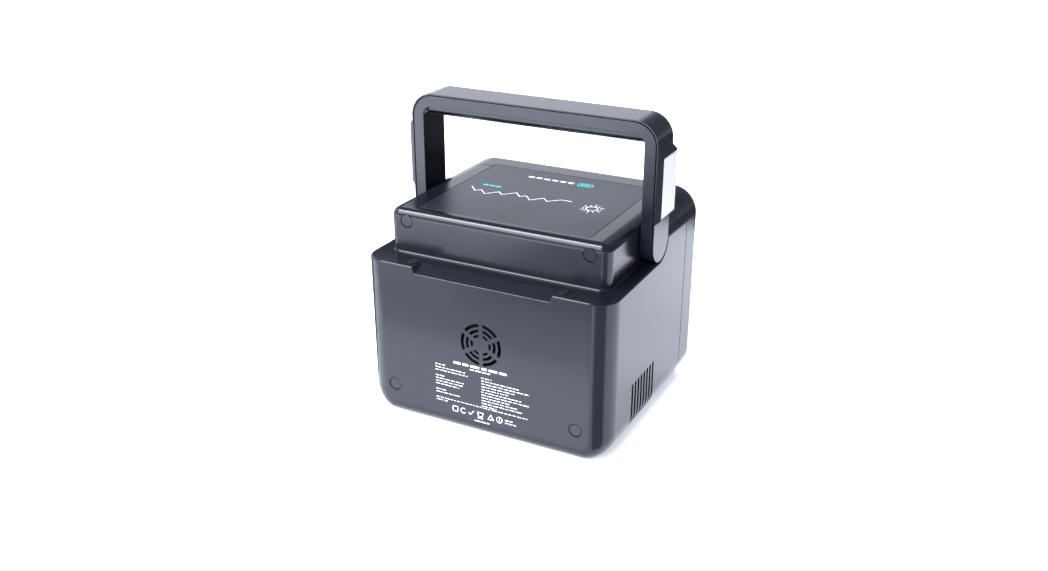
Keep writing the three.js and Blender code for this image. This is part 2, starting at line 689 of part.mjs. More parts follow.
function frontPanel() {
  const half = FRONT_PANEL_HALF_WIDTH;
  const outline = evenRect(-half, FRONT_PANEL_BOTTOM, half, FRONT_PANEL_TOP, FRONT_PANEL_CORNER - GAP);
  const lipLow = FRONT_PANEL_BOTTOM - FLANGE_WIDTH;
  const lipHigh = FRONT_PANEL_TOP + FLANGE_WIDTH;
  const lip = evenRect(-FLANGE_HALF_WIDTH, lipLow, FLANGE_HALF_WIDTH, lipHigh, FRONT_PANEL_CORNER + 2);
  const plate = alongY(outline, FRONT_PANEL_FACE_Y, FRONT_PANEL_BACK_Y);
  const flange = alongY(lip, FLANGE_FACE_Y, FRONT_PANEL_BACK_Y);
  const posts = [];
  for (const x of [-POST_X, POST_X]) {
    for (const z of [POST_LOW_Z, POST_HIGH_Z]) {
      posts.push(rodY(x, z, POST_RADIUS, FRONT_PANEL_BACK_Y - 1, CONTROL_BOARD_Y - GAP, 12));
    }
  }
  const front = FRONT_PANEL_FACE_Y - 1;
  const back = FRONT_PANEL_BACK_Y + 1;
  const windowHalf = DISPLAY_HALF_WIDTH + GAP;
  const windowRise = DISPLAY_HALF_HEIGHT + GAP;
  const holes = [box(-windowHalf, windowHalf, front, back, DISPLAY_Z - windowRise, DISPLAY_Z + windowRise)];
  for (const [x, z] of Object.values(BUTTONS)) {
    holes.push(rodY(x, z, BUTTON_RADIUS + GAP, front, back));
  }
  const outlet = OUTLET_HALF_WIDTH + GAP;
  for (const x of Object.values(AC_OUTLETS)) {
    const cut = evenRect(x - outlet, OUTLET_Z - outlet, x + outlet, OUTLET_Z + outlet, OUTLET_CORNER + GAP);
    holes.push(alongY(cut, front, back));
  }
  const wideA = USB_A_HALF_WIDTH + GAP;
  const tallA = USB_A_HALF_HEIGHT + GAP;
  for (const x of Object.values(USB_A_PORTS)) {
    holes.push(box(x - wideA, x + wideA, front, back, PORT_Z - tallA, PORT_Z + tallA));
  }
  const wideC = USB_C_HALF_WIDTH + GAP;
  const tallC = USB_C_HALF_HEIGHT + GAP;
  holes.push(box(USB_C_X - wideC, USB_C_X + wideC, front, back, PORT_Z - tallC, PORT_Z + tallC));
  for (const x of Object.values(DC_JACKS)) holes.push(rodY(x, PORT_Z, DC_JACK_RADIUS + GAP, front, back));
  holes.push(rodY(CHARGE_JACK_X, PORT_Z, CHARGE_JACK_RADIUS + GAP, front, back));
  holes.push(rodY(CAR_SOCKET_X, OUTLET_Z, CAR_SOCKET_BARREL + GAP, front, back, 24));
  return cutBy(joined([plate, flange, ...posts]), holes);
}

// A round button with a wider collar behind the panel, its face at Y = 0.
function button() {
  const collarY = FRONT_PANEL_BACK_Y + GAP - BUTTON_FACE_Y;
  const cap = rodY(0, 0, BUTTON_RADIUS, 0, collarY + 0.5);
  return cap.add(rodY(0, 0, BUTTON_RADIUS + COLLAR_WIDTH, collarY, collarY + COLLAR_THICKNESS));
}

function displayWindow() {
  const half = DISPLAY_HALF_WIDTH;
  const rise = DISPLAY_HALF_HEIGHT;
  const back = FRONT_PANEL_FACE_Y + DISPLAY_THICKNESS;
  return box(-half, half, FRONT_PANEL_FACE_Y, back, DISPLAY_Z - rise, DISPLAY_Z + rise);
}

function displayModule() {
  const half = MODULE_HALF_WIDTH;
  const rise = MODULE_HALF_HEIGHT;
  const front = FRONT_PANEL_FACE_Y + DISPLAY_THICKNESS + GAP;
  return box(-half, half, front, CONTROL_BOARD_Y - GAP, DISPLAY_Z - rise, DISPLAY_Z + rise);
}

// A mains outlet with two blade slots and an earth hole, centred on X = 0 and Z = 0.
function acOutlet() {
  const faceY = FRONT_PANEL_FACE_Y - 0.8;
  const half = OUTLET_HALF_WIDTH;
  const body = alongY(evenRect(-half, -half, half, half, OUTLET_CORNER), faceY, OUTLET_BACK_Y);
  const before = faceY - 1;
  const deep = faceY + OUTLET_HOLE_DEPTH;
  const wide = BLADE_SLOT_HALF_WIDTH;
  const slots = [-BLADE_SLOT_X, BLADE_SLOT_X].map((x) => box(
    x - wide, x + wide, before, deep, 0, BLADE_SLOT_HEIGHT,
  ));
  const earth = rodY(0, EARTH_HOLE_Z, EARTH_HOLE_RADIUS, before, deep, 12);
  return cutBy(body, [...slots, earth]);
}

// A 12 V barrel socket with a flange on the panel's face.
function carSocket() {
  const faceY = FRONT_Y + 0.1;
  const backY = FRONT_Y + CAR_SOCKET_LENGTH;
  const barrel = rodY(0, 0, CAR_SOCKET_BARREL, faceY, backY, 24);
  const flange = rodY(0, 0, CAR_SOCKET_FLANGE, faceY, FRONT_PANEL_FACE_Y - GAP, 24);
  const bore = rodY(0, 0, CAR_SOCKET_BORE, FRONT_Y - 1, backY - CAR_SOCKET_FLOOR, 24);
  return barrel.add(flange).subtract(bore);
}

function usbAPort() {
  const faceY = FRONT_PANEL_FACE_Y;
  const backY = CONTROL_BOARD_Y - GAP;
  const half = USB_A_HALF_WIDTH;
  const rise = USB_A_HALF_HEIGHT;
  const housing = box(-half, half, faceY, backY, -rise, rise);
  const mouth = box(1 - half, half - 1, faceY - 1, backY - 2, 1.3 - rise, rise - 1.3);
  const tongue = box(-5.5, 5.5, faceY + 1, backY - 1, 0.3, 1.8);
  return housing.subtract(mouth).add(tongue);
}

function usbCPort() {
  const faceY = FRONT_PANEL_FACE_Y;
  const backY = CONTROL_BOARD_Y - GAP;
  const half = USB_C_HALF_WIDTH;
  const rise = USB_C_HALF_HEIGHT;
  const wall = 0.7;
  const housing = alongY(evenRect(-half, -rise, half, rise, 2), faceY, backY, 3);
  const opening = evenRect(wall - half, wall - rise, half - wall, rise - wall, 2 - wall);
  const mouth = alongY(opening, faceY - 1, backY - 2, 3);
  const tongue = box(-3.3, 3.3, faceY + 1, backY - 1, -0.4, 0.4);
  return housing.subtract(mouth).add(tongue);
}

// A round power jack with a centre pin.
function barrelJack(outer, bore, pin) {
  const faceY = FRONT_PANEL_FACE_Y - 0.6;
  const backY = CONTROL_BOARD_Y - GAP;
  const body = rodY(0, 0, outer, faceY, backY).subtract(rodY(0, 0, bore, faceY - 1, backY - 2));
  return body.add(rodY(0, 0, pin, faceY + 1, backY - 1, 8));
}

// The control board, with a push switch behind each button.
function controlBoard() {
  const back = CONTROL_BOARD_Y + BOARD_THICKNESS;
  const board = box(-74, 74, CONTROL_BOARD_Y, back, 76, 134);
  const keys = Object.values(BUTTONS);
  const switches = keys.map(([x, z]) => box(x - 3, x + 3, SWITCH_FRONT_Y, back - 1, z - 3, z + 3));
  const chips = CHIP_XS.map((x) => box(x - 7, x + 7, back - 1, back + 2.2, 84, 98));
  return joined([board, ...switches, ...chips]);
}

function cellPlaces() {
  const places = [];
  for (let row = 0; row < CELL_ROWS; row += 1) {
    for (let column = 0; column < CELL_COLUMNS; column += 1) {
      const x = (column - (CELL_COLUMNS - 1) / 2) * CELL_PITCH;
      const y = PACK_Y + (row - (CELL_ROWS - 1) / 2) * CELL_PITCH;
      places.push([x, y]);
    }
  }
  return places;
}

// A cylindrical cell standing on Z = 0, with a rolled shoulder and a raised pole.
function cell() {
  const r = CELL_RADIUS;
  const shoulder = CELL_LENGTH - 1;
  return latheSolid([
    [0, 0], [r, 0], [r, shoulder - 1], [r - 1, shoulder], [6, shoulder], [6, CELL_LENGTH], [0, CELL_LENGTH],
  ], 14);
}

// A tray with a pocket for the end of each cell, its closed side at z0 or at its top.
function cellHolder(z0, opensUp) {
  const block = alongZ(evenRect(
    -HOLDER_HALF_WIDTH, PACK_Y - HOLDER_HALF_DEPTH, HOLDER_HALF_WIDTH, PACK_Y + HOLDER_HALF_DEPTH, 3,
  ), z0, z0 + HOLDER_HEIGHT, 3);
  const low = opensUp ? z0 + HOLDER_FLOOR : z0 - 1;
  const high = opensUp ? z0 + HOLDER_HEIGHT + 1 : z0 + HOLDER_HEIGHT - HOLDER_FLOOR;
  return cutBy(block, cellPlaces().map(([x, y]) => rodZ(x, y, CELL_RADIUS + 2 * GAP, low, high, 14)));
}

function batteryBoard() {
  const boardTop = BATTERY_BOARD_Z + BOARD_THICKNESS;
  const board = box(-58, 58, PACK_Y - 27, PACK_Y + 27, BATTERY_BOARD_Z, boardTop);
  const top = boardTop - PART_EMBED;
  const parts = TRANSISTOR_XS.map((x) => box(x - 5, x + 5, -18, -6, top, top + 3));
  parts.push(box(18, 50, -16, 12, top, top + 5));
  return joined([board, ...parts]);
}

// The inverter board with its capacitors and a relay.
function inverterBoard() {
  const half = INVERTER_HALF_WIDTH;
  const board = box(-half, half, INVERTER_FRONT_Y, INVERTER_REAR_Y, INVERTER_Z, INVERTER_TOP);
  const base = INVERTER_TOP - PART_EMBED;
  const capacitors = CAPACITOR_XS.map((x) => rodZ(x, -30, 8, base, base + 31, 14));
  const relay = box(16, 44, -14, 2, base, base + 16);
  const chokes = CHOKE_XS.map((x) => rodZ(x, 4, 9, base, base + 12, 14));
  return joined([board, ...capacitors, relay, ...chokes]);
}

// A finned aluminium extrusion along Y.
function heatSink() {
  const halfWidth = 52;
  const fins = 13;
  const finWidth = 2;
  const baseTop = 5;
  const finTop = 27;
  const pitch = (2 * halfWidth - finWidth) / (fins - 1);
  const shape = new THREE.Shape();
  shape.moveTo(-halfWidth, 0);
  shape.lineTo(halfWidth, 0);
  for (let i = fins - 1; i >= 0; i -= 1) {
    const x = -halfWidth + i * pitch;
    shape.lineTo(x + finWidth, finTop);
    shape.lineTo(x, finTop);
    if (i > 0) {
      shape.lineTo(x, baseTop);
      shape.lineTo(x - pitch + finWidth, baseTop);
    }
  }
  return alongY(shape, -HEAT_SINK_HALF_LENGTH, HEAT_SINK_HALF_LENGTH);
}

// A laminated core with its winding.
function transformer() {
  const core = box(-20, 20, -8, 8, 0, 33);
  const winding = alongZ(evenRect(-13, -17, 13, 17, 6), 6, 27, 4);
  return core.add(winding);
}

function fanScrewPlaces() {
  const reach = FAN_HALF - FAN_PEG_INSET;
  const places = [];
  for (const x of [-reach, reach]) {
    for (const z of [-reach, reach]) {
      places.push([x, GRILLE_Z + z]);
    }
  }
  return places;
}

// The fan's square frame with three struts to the bearing disc, centred on X = 0 and Z = 0.
function fanFrame() {
  const square = alongY(evenRect(-FAN_HALF, -FAN_HALF, FAN_HALF, FAN_HALF, 3), -FAN_DEPTH, 0, 4);
  const bore = rodY(0, 0, FAN_BORE, -FAN_DEPTH - 1, 1, 28);
  const struts = [0, 1, 2].map((i) => {
    const strut = new THREE.BoxGeometry(2.4, FAN_STRUT_THICKNESS, FAN_BORE + 1);
    strut.translate(0, -FAN_DEPTH + FAN_STRUT_THICKNESS / 2, (FAN_BORE + 1) / 2);
    strut.rotateY((i * 2 * Math.PI) / 3);
    return solid(strut);
  });
  const disc = rodY(0, 0, FAN_HUB_RADIUS, -FAN_DEPTH, -FAN_DEPTH + FAN_STRUT_THICKNESS);
  const before = -FAN_DEPTH - 1;
  const holes = fanScrewPlaces().map(([x, z]) => rodY(x, z - GRILLE_Z, FAN_PEG_HOLE, before, 1, 8));
  holes.push(rodY(0, 0, FAN_SHAFT_BORE, before, 0, 12));
  return cutBy(square.subtract(bore).add(joined([...struts, disc])), holes);
}

// Hub, shaft and twisted blades, turning about the Y axis.
function fanRotor() {
  const front = -FAN_DEPTH + 2.2;
  const back = -0.8;
  const hub = rodY(0, 0, FAN_HUB_RADIUS, front, back, 20);
  const shaft = rodY(0, 0, FAN_SHAFT_RADIUS, -FAN_DEPTH + 0.4, front + 1, 10);
  const blades = [];
  for (let i = 0; i < FAN_BLADES; i += 1) {
    const blade = new THREE.BoxGeometry(BLADE_WIDTH, 1, BLADE_LENGTH);
    blade.rotateZ(BLADE_TWIST);
    blade.translate(0, (front + back) / 2, BLADE_CENTRE);
    blade.rotateY((i * 2 * Math.PI) / FAN_BLADES);
    blades.push(solid(blade));
  }
  return joined([hub, shaft, ...blades]);
}

function material(color, roughness, metalness = 0) {
  return () => new THREE.MeshStandardMaterial({ color, roughness, metalness });
}

const shellPlastic = material(0x2b2d33, 0.5);
const panelPlastic = material(0x3a3c44, 0.55);
const frontPlastic = material(0x17181b, 0.45);
const rubber = material(0x151516, 0.9);
const steel = material(0xb4b6ba, 0.35, 1);
const glassBlack = material(0x0a0c10, 0.1);
const lensWhite = material(0xf4f4f0, 0.4);
const boardGreen = material(0x1f5a3a, 0.6);
const aluminium = material(0xa9adb2, 0.4, 0.9);
const cellWrap = material(0x2f6fb0, 0.5);
const trayPlastic = material(0x20201f, 0.7);
const coreDark = material(0x4a3a26, 0.6);
const buttonPlastic = material(0x4b4e55, 0.5);

const group = new THREE.Group();

function addMesh(parent, name, shape, makeMaterial, x = 0, y = 0, z = 0) {
  const mesh = new THREE.Mesh(geometryOf(shape), makeMaterial());
  mesh.name = name;
  mesh.position.set(x, y, z);
  parent.add(mesh);
  return mesh;
}

function addCase() {
  addMesh(group, 'rear_shell', rearShell(), shellPlastic);
  addMesh(group, 'front_shell', frontShell(), shellPlastic);
  addMesh(group, 'front_panel', frontPanel(), frontPlastic);
  addMesh(group, 'top_panel', topPanel(), panelPlastic);
  for (const side of [-1, 1]) {
    const hand = side < 0 ? 'left' : 'right';
    addMesh(group, `low_plug_${hand}`, screwPlug(), shellPlastic, side * LOW_SCREW.x, REAR_Y, LOW_SCREW.z);
    const highX = side * HIGH_SCREW.x;
    addMesh(group, `high_plug_${hand}`, screwPlug(), shellPlastic, highX, RAISED_REAR_Y, HIGH_SCREW.z);
    addMesh(group, `handle_bumper_${hand}`, handleBumper(), rubber, side * BUMPER_X, BUMPER_Y, LEDGE_Z);
    addMesh(group, `foot_rear_${hand}`, foot(), rubber, side * FOOT_X, FOOT_REAR_Y);
    addMesh(group, `foot_front_${hand}`, foot(), rubber, side * FOOT_X, FOOT_FRONT_Y);
    addMesh(group, `pivot_pin_${hand}`, pivotPin(side), steel, 0, PIVOT_Y, PIVOT_Z);
  }
  const headY = SEAM_Y + GAP / 2 + BOSS_FLOOR + GAP;
  screwPlaces().forEach((s, i) => addMesh(group, `case_screw_${i + 1}`, caseScrew(), steel, s.x, headY, s.z));
}

function addFrontFittings() {
  addMesh(group, 'display_window', displayWindow(), glassBlack);
  addMesh(group, 'display_module', displayModule(), frontPlastic);
  for (const [name, x] of Object.entries(AC_OUTLETS)) {
    addMesh(group, name, acOutlet(), frontPlastic, x, 0, OUTLET_Z);
  }
  addMesh(group, 'car_socket', carSocket(), frontPlastic, CAR_SOCKET_X, 0, OUTLET_Z);
  for (const [name, x] of Object.entries(USB_A_PORTS)) {
    addMesh(group, name, usbAPort(), steel, x, 0, PORT_Z);
  }
  addMesh(group, 'usb_c_port', usbCPort(), steel, USB_C_X, 0, PORT_Z);
  for (const [name, x] of Object.entries(DC_JACKS)) {
    addMesh(group, name, barrelJack(DC_JACK_RADIUS, 2.8, 1), frontPlastic, x, 0, PORT_Z);
  }
  const chargeJack = barrelJack(CHARGE_JACK_RADIUS, 4, 0.7);
  addMesh(group, 'charge_jack', chargeJack, frontPlastic, CHARGE_JACK_X, 0, PORT_Z);
  for (const [name, [x, z]] of Object.entries(BUTTONS)) {
    addMesh(group, name, button(), buttonPlastic, x, BUTTON_FACE_Y, z);
  }
  addMesh(group, 'control_board', controlBoard(), boardGreen);
}

function addInside() {
  cellPlaces().forEach(([x, y], i) => {
    addMesh(group, `battery_cell_${i + 1}`, cell(), cellWrap, x, y, CELL_Z);
  });
  addMesh(group, 'cell_holder_bottom', cellHolder(CELL_Z - GAP - HOLDER_FLOOR, true), trayPlastic);
  const topHolderZ = CELL_Z + CELL_LENGTH + GAP + HOLDER_FLOOR - HOLDER_HEIGHT;
  addMesh(group, 'cell_holder_top', cellHolder(topHolderZ, false), trayPlastic);
  addMesh(group, 'battery_board', batteryBoard(), boardGreen);
  addMesh(group, 'inverter_board', inverterBoard(), boardGreen);
  const partZ = INVERTER_TOP + GAP;
  addMesh(group, 'heat_sink', heatSink(), aluminium, 0, HEAT_SINK_Y, partZ);
  addMesh(group, 'transformer', transformer(), coreDark, TRANSFORMER_X, TRANSFORMER_Y, partZ);
  addMesh(group, 'fan_frame', fanFrame(), trayPlastic, 0, FAN_REAR_Y, GRILLE_Z);
  addMesh(group, 'fan_rotor', fanRotor(), trayPlastic, 0, FAN_REAR_Y, GRILLE_Z);
}

function addHandle() {
  const handle = new THREE.Group();
  handle.position.set(0, PIVOT_Y, PIVOT_Z);
  group.add(handle);
  addMesh(handle, 'handle_frame', handleFrame(), shellPlastic);
  addMesh(handle, 'handle_cover', handleCover(), shellPlastic);
  for (const side of [-1, 1]) {
    const hand = side < 0 ? 'left' : 'right';
    addMesh(handle, `lamp_lens_${hand}`, lampLens(side), lensWhite);
    addMesh(handle, `lamp_board_${hand}`, lampBoard(side), boardGreen);
  }
}

addCase();
addFrontFittings();
addInside();
addHandle();

export default group;
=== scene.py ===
"""Looks of a portable power station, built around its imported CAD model. Metres, +Z up, the rear at +Y."""

import json
import math
import random
from contextlib import contextmanager

import bmesh
import bpy
from mathutils import Matrix, Vector
from mathutils.bvhtree import BVHTree


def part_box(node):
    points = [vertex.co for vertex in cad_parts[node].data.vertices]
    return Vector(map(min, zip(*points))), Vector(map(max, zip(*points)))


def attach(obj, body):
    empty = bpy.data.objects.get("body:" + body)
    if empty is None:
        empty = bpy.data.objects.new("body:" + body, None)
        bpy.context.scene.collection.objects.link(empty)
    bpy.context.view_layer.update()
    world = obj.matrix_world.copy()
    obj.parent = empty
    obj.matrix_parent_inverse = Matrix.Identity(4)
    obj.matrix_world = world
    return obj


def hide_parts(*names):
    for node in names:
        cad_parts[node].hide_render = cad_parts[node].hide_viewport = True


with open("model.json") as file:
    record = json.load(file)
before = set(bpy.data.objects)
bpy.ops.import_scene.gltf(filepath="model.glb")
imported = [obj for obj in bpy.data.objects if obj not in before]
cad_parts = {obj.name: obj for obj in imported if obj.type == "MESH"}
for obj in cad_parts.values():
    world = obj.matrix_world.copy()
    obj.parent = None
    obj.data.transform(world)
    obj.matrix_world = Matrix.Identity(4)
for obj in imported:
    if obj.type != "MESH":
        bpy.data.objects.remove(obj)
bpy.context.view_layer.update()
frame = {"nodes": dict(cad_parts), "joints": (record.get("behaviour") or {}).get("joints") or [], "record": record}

MM = 0.001

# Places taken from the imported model
REAR_LOW, REAR_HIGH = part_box("rear_shell")
FRONT_LOW, FRONT_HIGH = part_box("front_shell")
HANDLE_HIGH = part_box("handle_frame")[1]
JOINTS = {j["name"]: j for j in frame["joints"]}
PIVOT = Vector(JOINTS["handle_fold"]["pos_m"])
HALF_WIDTH = REAR_HIGH.x
REAR_Y = REAR_HIGH.y
FRONT_Y = FRONT_LOW.y
BOTTOM_Z = REAR_LOW.z
TOP_Z = REAR_HIGH.z
SEAM_Y = (REAR_LOW.y + FRONT_HIGH.y) / 2

# Case, in the CAD model's sizes
WALL = 2.5 * MM
GAP = 0.3 * MM
RECESS_RADIUS = 15.25 * MM
LEDGE_Z = PIVOT.z - RECESS_RADIUS
SIDE_RADIUS = 20 * MM
REAR_CORNER = 16.2 * MM
REAR_BOTTOM = 10 * MM
FRONT_CORNER = 9.4 * MM
FRONT_EDGE = 8 * MM
RAISED_HALF = 84.3 * MM
RAISED_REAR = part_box("high_plug_left")[1].y + 0.1 * MM
RAISED_CORNER = 7 * MM
RAISED_TOP_EDGE = 6 * MM
PANEL_HALF = 79.7 * MM
PANEL_BOTTOM, PANEL_TOP = 14.3 * MM, 140.7 * MM
PANEL_CORNER = 12 * MM


# ---- camera

def add_camera():
    """The camera at the photograph's viewing angle: behind, to the right and above."""
    azimuth = math.radians(207.307)
    elevation = math.radians(23.431)
    distance = 791.475 * MM
    target = Vector((-0.331, 19.998, 93.678)) * MM
    back = Vector((math.sin(azimuth) * math.cos(elevation),
                   -math.cos(azimuth) * math.cos(elevation),
                   math.sin(elevation)))
    data = bpy.data.cameras.new("camera")
    data.lens = 37.55
    data.sensor_width = 36
    data.clip_start = 0.01
    data.clip_end = 50
    camera = bpy.data.objects.new("camera", data)
    camera.rotation_mode = "QUATERNION"
    camera.location = target + back * distance
    camera.rotation_quaternion = (-back).to_track_quat("-Z", "Y")
    bpy.context.scene.collection.objects.link(camera)
    bpy.context.scene.camera = camera


# ---- mesh helpers

def link(name, mesh, material=None):
    obj = bpy.data.objects.new(name, mesh)
    bpy.context.scene.collection.objects.link(obj)
    if material:
        mesh.materials.append(material)
    return obj


def object_from(name, bm, material=None):
    mesh = bpy.data.meshes.new(name)
    bm.to_mesh(mesh)
    bm.free()
    return link(name, mesh, material)


def arc(cx, cy, rx, ry, start, end, steps):
    """Points of an elliptical arc, both ends included. Angles are in degrees."""
    points = []
    for i in range(steps + 1):
        t = math.radians(start + (end - start) * i / steps)
        points.append((cx + rx * math.cos(t), cy + ry * math.sin(t)))
    return points


def rounded(x0, y0, x1, y1, radii, steps=8):
    """A rectangle's outline with its own radius at each corner, anticlockwise from the low left one."""
    if not isinstance(radii, (tuple, list)):
        radii = (radii,) * 4
    centres = [(x0, y0, 1, 1, 180), (x1, y0, -1, 1, 270), (x1, y1, -1, -1, 0), (x0, y1, 1, -1, 90)]
    points = []
    for (x, y, sx, sy, start), r in zip(centres, radii):
        if r <= 0:
            points.append((x, y))
        else:
            points += arc(x + sx * r, y + sy * r, r, r, start, start + 90, steps)
    return points


AXES = {
    "X": lambda a, b, c: (c, a, b),
    "Y": lambda a, b, c: (a, c, b),
    "Z": lambda a, b, c: (a, b, c),
}


def loft(sections):
    """A closed skin through rings of 3D points with the same count, capped at both ends."""
    bm = bmesh.new()
    rings = [[bm.verts.new(p) for p in ring] for ring in sections]
    count = len(rings[0])
    for low, high in zip(rings, rings[1:]):
        for i in range(count):
            j = (i + 1) % count
            bm.faces.new((low[i], low[j], high[j], high[i]))
    bm.faces.new(rings[0][::-1])
    bm.faces.new(rings[-1])
    bmesh.ops.recalc_face_normals(bm, faces=bm.faces)
    return bm


def prism(outline, axis, low, high):
    """An outline in the plane across an axis, carried from low to high along it."""
    place = AXES[axis]
    return loft([[place(a, b, c) for a, b in outline] for c in (low, high)])


def block(x0, x1, y0, y1, z0, z1):
    return prism([(x0, y0), (x1, y0), (x1, y1), (x0, y1)], "Z", z0, z1)


def hull_of(points):
    """The closed solid around some points, with its flat sides merged."""
    bm = bmesh.new()
    for p in points:
        bm.verts.new(p)
    bmesh.ops.convex_hull(bm, input=bm.verts)
    bmesh.ops.dissolve_limit(bm, angle_limit=0.01, verts=bm.verts, edges=bm.edges)
    return bm


def both_sides(inner, outer):
    """The stretch between two distances from the middle, on the -X side and then on the +X side."""
    return (-outer, -inner), (inner, outer)


def circle(a, b, radius, sides=28):
    return arc(a, b, radius, radius, 0, 360 - 360 / sides, sides - 1)


def rod(axis, a, b, radius, low, high, sides=48):
    """A round bar along an axis, centred on (a, b) in the plane across it."""
    return prism(circle(a, b, radius, sides), axis, low, high)


def discard(obj):
    mesh = obj.data
    bpy.data.objects.remove(obj)
    bpy.data.meshes.remove(mesh)


def apply_modifiers(obj):
    bpy.context.view_layer.update()
    evaluated = obj.evaluated_get(bpy.context.evaluated_depsgraph_get())
    mesh = bpy.data.meshes.new_from_object(evaluated)
    obj.modifiers.clear()
    old = obj.data
    obj.data = mesh
    mesh.materials.clear()
    for material in old.materials:
        mesh.materials.append(material)
    bpy.data.meshes.remove(old)


def combine(obj, tools, operation="DIFFERENCE"):
    """Cuts tools (bmeshes) from an object, or joins or keeps what they share."""
    for tool in tools:
        cutter = object_from("tool", tool)
        modifier = obj.modifiers.new("combine", "BOOLEAN")
        modifier.operation = operation
        modifier.solver = "EXACT"
        modifier.object = cutter
        apply_modifiers(obj)
        discard(cutter)


def taken(obj):
    """An object's mesh as a bmesh; the object itself is removed."""
    bm = bmesh.new()
    bm.from_mesh(obj.data)
    discard(obj)
    return bm


def merged(tools):
    """Several tools that don't touch, as one, so that they cut in one go."""
    whole = bmesh.new()
    for tool in tools:
        mesh = bpy.data.meshes.new("tool")
        tool.to_mesh(mesh)
        tool.free()
        whole.from_mesh(mesh)
        bpy.data.meshes.remove(mesh)
    return whole


def surface_of(obj):
    bm = bmesh.new()
    bm.from_mesh(obj.data)
    tree = BVHTree.FromBMesh(bm)
    bm.free()
    return tree


def on_surface(edge, tree, tolerance=0.02 * MM):
    """True where an edge lies on a surface kept from before the cuts."""
    points = (edge.verts[0].co, (edge.verts[0].co + edge.verts[1].co) / 2, edge.verts[1].co)
    return all(tree.find_nearest(p)[3] < tolerance for p in points)


@contextmanager
def edited(obj):
    """An object's mesh as a bmesh, written back at the end."""
    bm = bmesh.new()
    bm.from_mesh(obj.data)
    yield bm
    bm.to_mesh(obj.data)
    bm.free()


def clean(obj, distance=0.01 * MM):
    with edited(obj) as bm:
        bmesh.ops.remove_doubles(bm, verts=bm.verts, dist=distance)
        bmesh.ops.dissolve_degenerate(bm, edges=bm.edges, dist=distance)


def is_sharp(edge, angle):
    return len(edge.link_faces) == 2 and edge.calc_face_angle(0) > math.radians(angle)


def soften(obj, width, segments=3, where=None, angle=32, clamp=False):
    """Rounds the sharp edges that where() picks, or all of them."""
    with edited(obj) as bm:
        edges = [e for e in bm.edges if is_sharp(e, angle) and (where is None or where(e))]
        bmesh.ops.bevel(bm, geom=edges, offset=width, offset_type="OFFSET", segments=segments,
                        profile=0.5, affect="EDGES", clamp_overlap=clamp, miter_outer="SHARP")


def shade(obj, angle=38):
    """Smooth shading that stays flat on flat faces and sharp at sharp edges."""
    obj.data.shade_smooth()
    with edited(obj) as bm:
        for e in bm.edges:
            e.smooth = not is_sharp(e, angle)
    modifier = obj.modifiers.new("normals", "WEIGHTED_NORMAL")
    modifier.keep_sharp = True
    modifier.weight = 50
    return obj


def fit_out(obj, body, nodes=()):
    """Puts a finished piece on its body and the CAD nodes that it stands for."""
    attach(obj, body)
    if nodes:
        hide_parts(*nodes)


# ---- materials

def principled(name, color, roughness, metallic=0.0, specular=0.5):
    material = bpy.data.materials.new(name)
    material.use_nodes = True
    shader = material.node_tree.nodes["Principled BSDF"]
    shader.inputs["Base Color"].default_value = (*color, 1)
    shader.inputs["Roughness"].default_value = roughness
    shader.inputs["Metallic"].default_value = metallic
    shader.inputs["Specular IOR Level"].default_value = specular
    return material, material.node_tree, shader


def add_node(tree, kind, **values):
    node = tree.nodes.new(kind)
    for key, value in values.items():
        if key in node.inputs:
            node.inputs[key].default_value = value
        else:
            setattr(node, key, value)
    return node


def ramp(tree, source, stops):
    node = tree.nodes.new("ShaderNodeValToRGB")
    elements = node.color_ramp.elements
    for i, (place, value) in enumerate(stops):
        element = elements[i] if i < len(elements) else elements.new(place)
        element.position = place
        element.color = (*value, 1) if isinstance(value, tuple) else (value, value, value, 1)
    tree.links.new(source, node.inputs["Fac"])
    return node.outputs["Color"]


def textured(tree, kind, output="Fac", **values):
    """The output of a texture laid over the object's own coordinates."""
    node = add_node(tree, kind, **values)
    tree.links.new(add_node(tree, "ShaderNodeTexCoord").outputs["Object"], node.inputs["Vector"])
    return node.outputs[output]


def vary(tree, shader, socket, source, *stops):
    """Drives a shader's socket through a ramp from a texture's output."""
    tree.links.new(ramp(tree, source, stops), shader.inputs[socket])


def roughen(tree, shader, height, strength, distance):
    bump = add_node(tree, "ShaderNodeBump", Strength=strength, Distance=distance)
    tree.links.new(height, bump.inputs["Height"])
    tree.links.new(bump.outputs["Normal"], shader.inputs["Normal"])


def scaled(color, factor):
    return tuple(c * factor for c in color)


def moulded(name, color, roughness, grain=0.22 * MM, depth=0.012 * MM, specular=0.5):
    """Moulded plastic: a fine spark-eroded grain, with slow changes of tone and gloss."""
    material, tree, shader = principled(name, color, roughness, specular=specular)
    fine = textured(tree, "ShaderNodeTexNoise", Scale=1 / grain, Detail=3.0, Roughness=0.6)
    slow = textured(tree, "ShaderNodeTexNoise", Scale=14.0, Detail=4.0, Roughness=0.55)
    roughen(tree, shader, fine, 0.55, depth)
    vary(tree, shader, "Base Color", slow, (0.3, scaled(color, 0.88)), (0.7, scaled(color, 1.12)))
    vary(tree, shader, "Roughness", slow, (0.25, roughness * 1.06), (0.75, roughness * 0.94))
    return material


def brushed(name, color, roughness):
    """Metal with fine lines along its grain."""
    material, tree, shader = principled(name, color, roughness, metallic=1.0)
    stretch = add_node(tree, "ShaderNodeMapping", Scale=(1, 1, 40))
    tree.links.new(add_node(tree, "ShaderNodeTexCoord").outputs["Object"], stretch.inputs["Vector"])
    noise = add_node(tree, "ShaderNodeTexNoise", Scale=90.0, Detail=5.0)
    tree.links.new(stretch.outputs["Vector"], noise.inputs["Vector"])
    lines = noise.outputs["Fac"]
    vary(tree, shader, "Roughness", lines, (0.3, roughness * 0.8), (0.7, roughness * 1.25))
    roughen(tree, shader, lines, 0.25, 0.01 * MM)
    return material


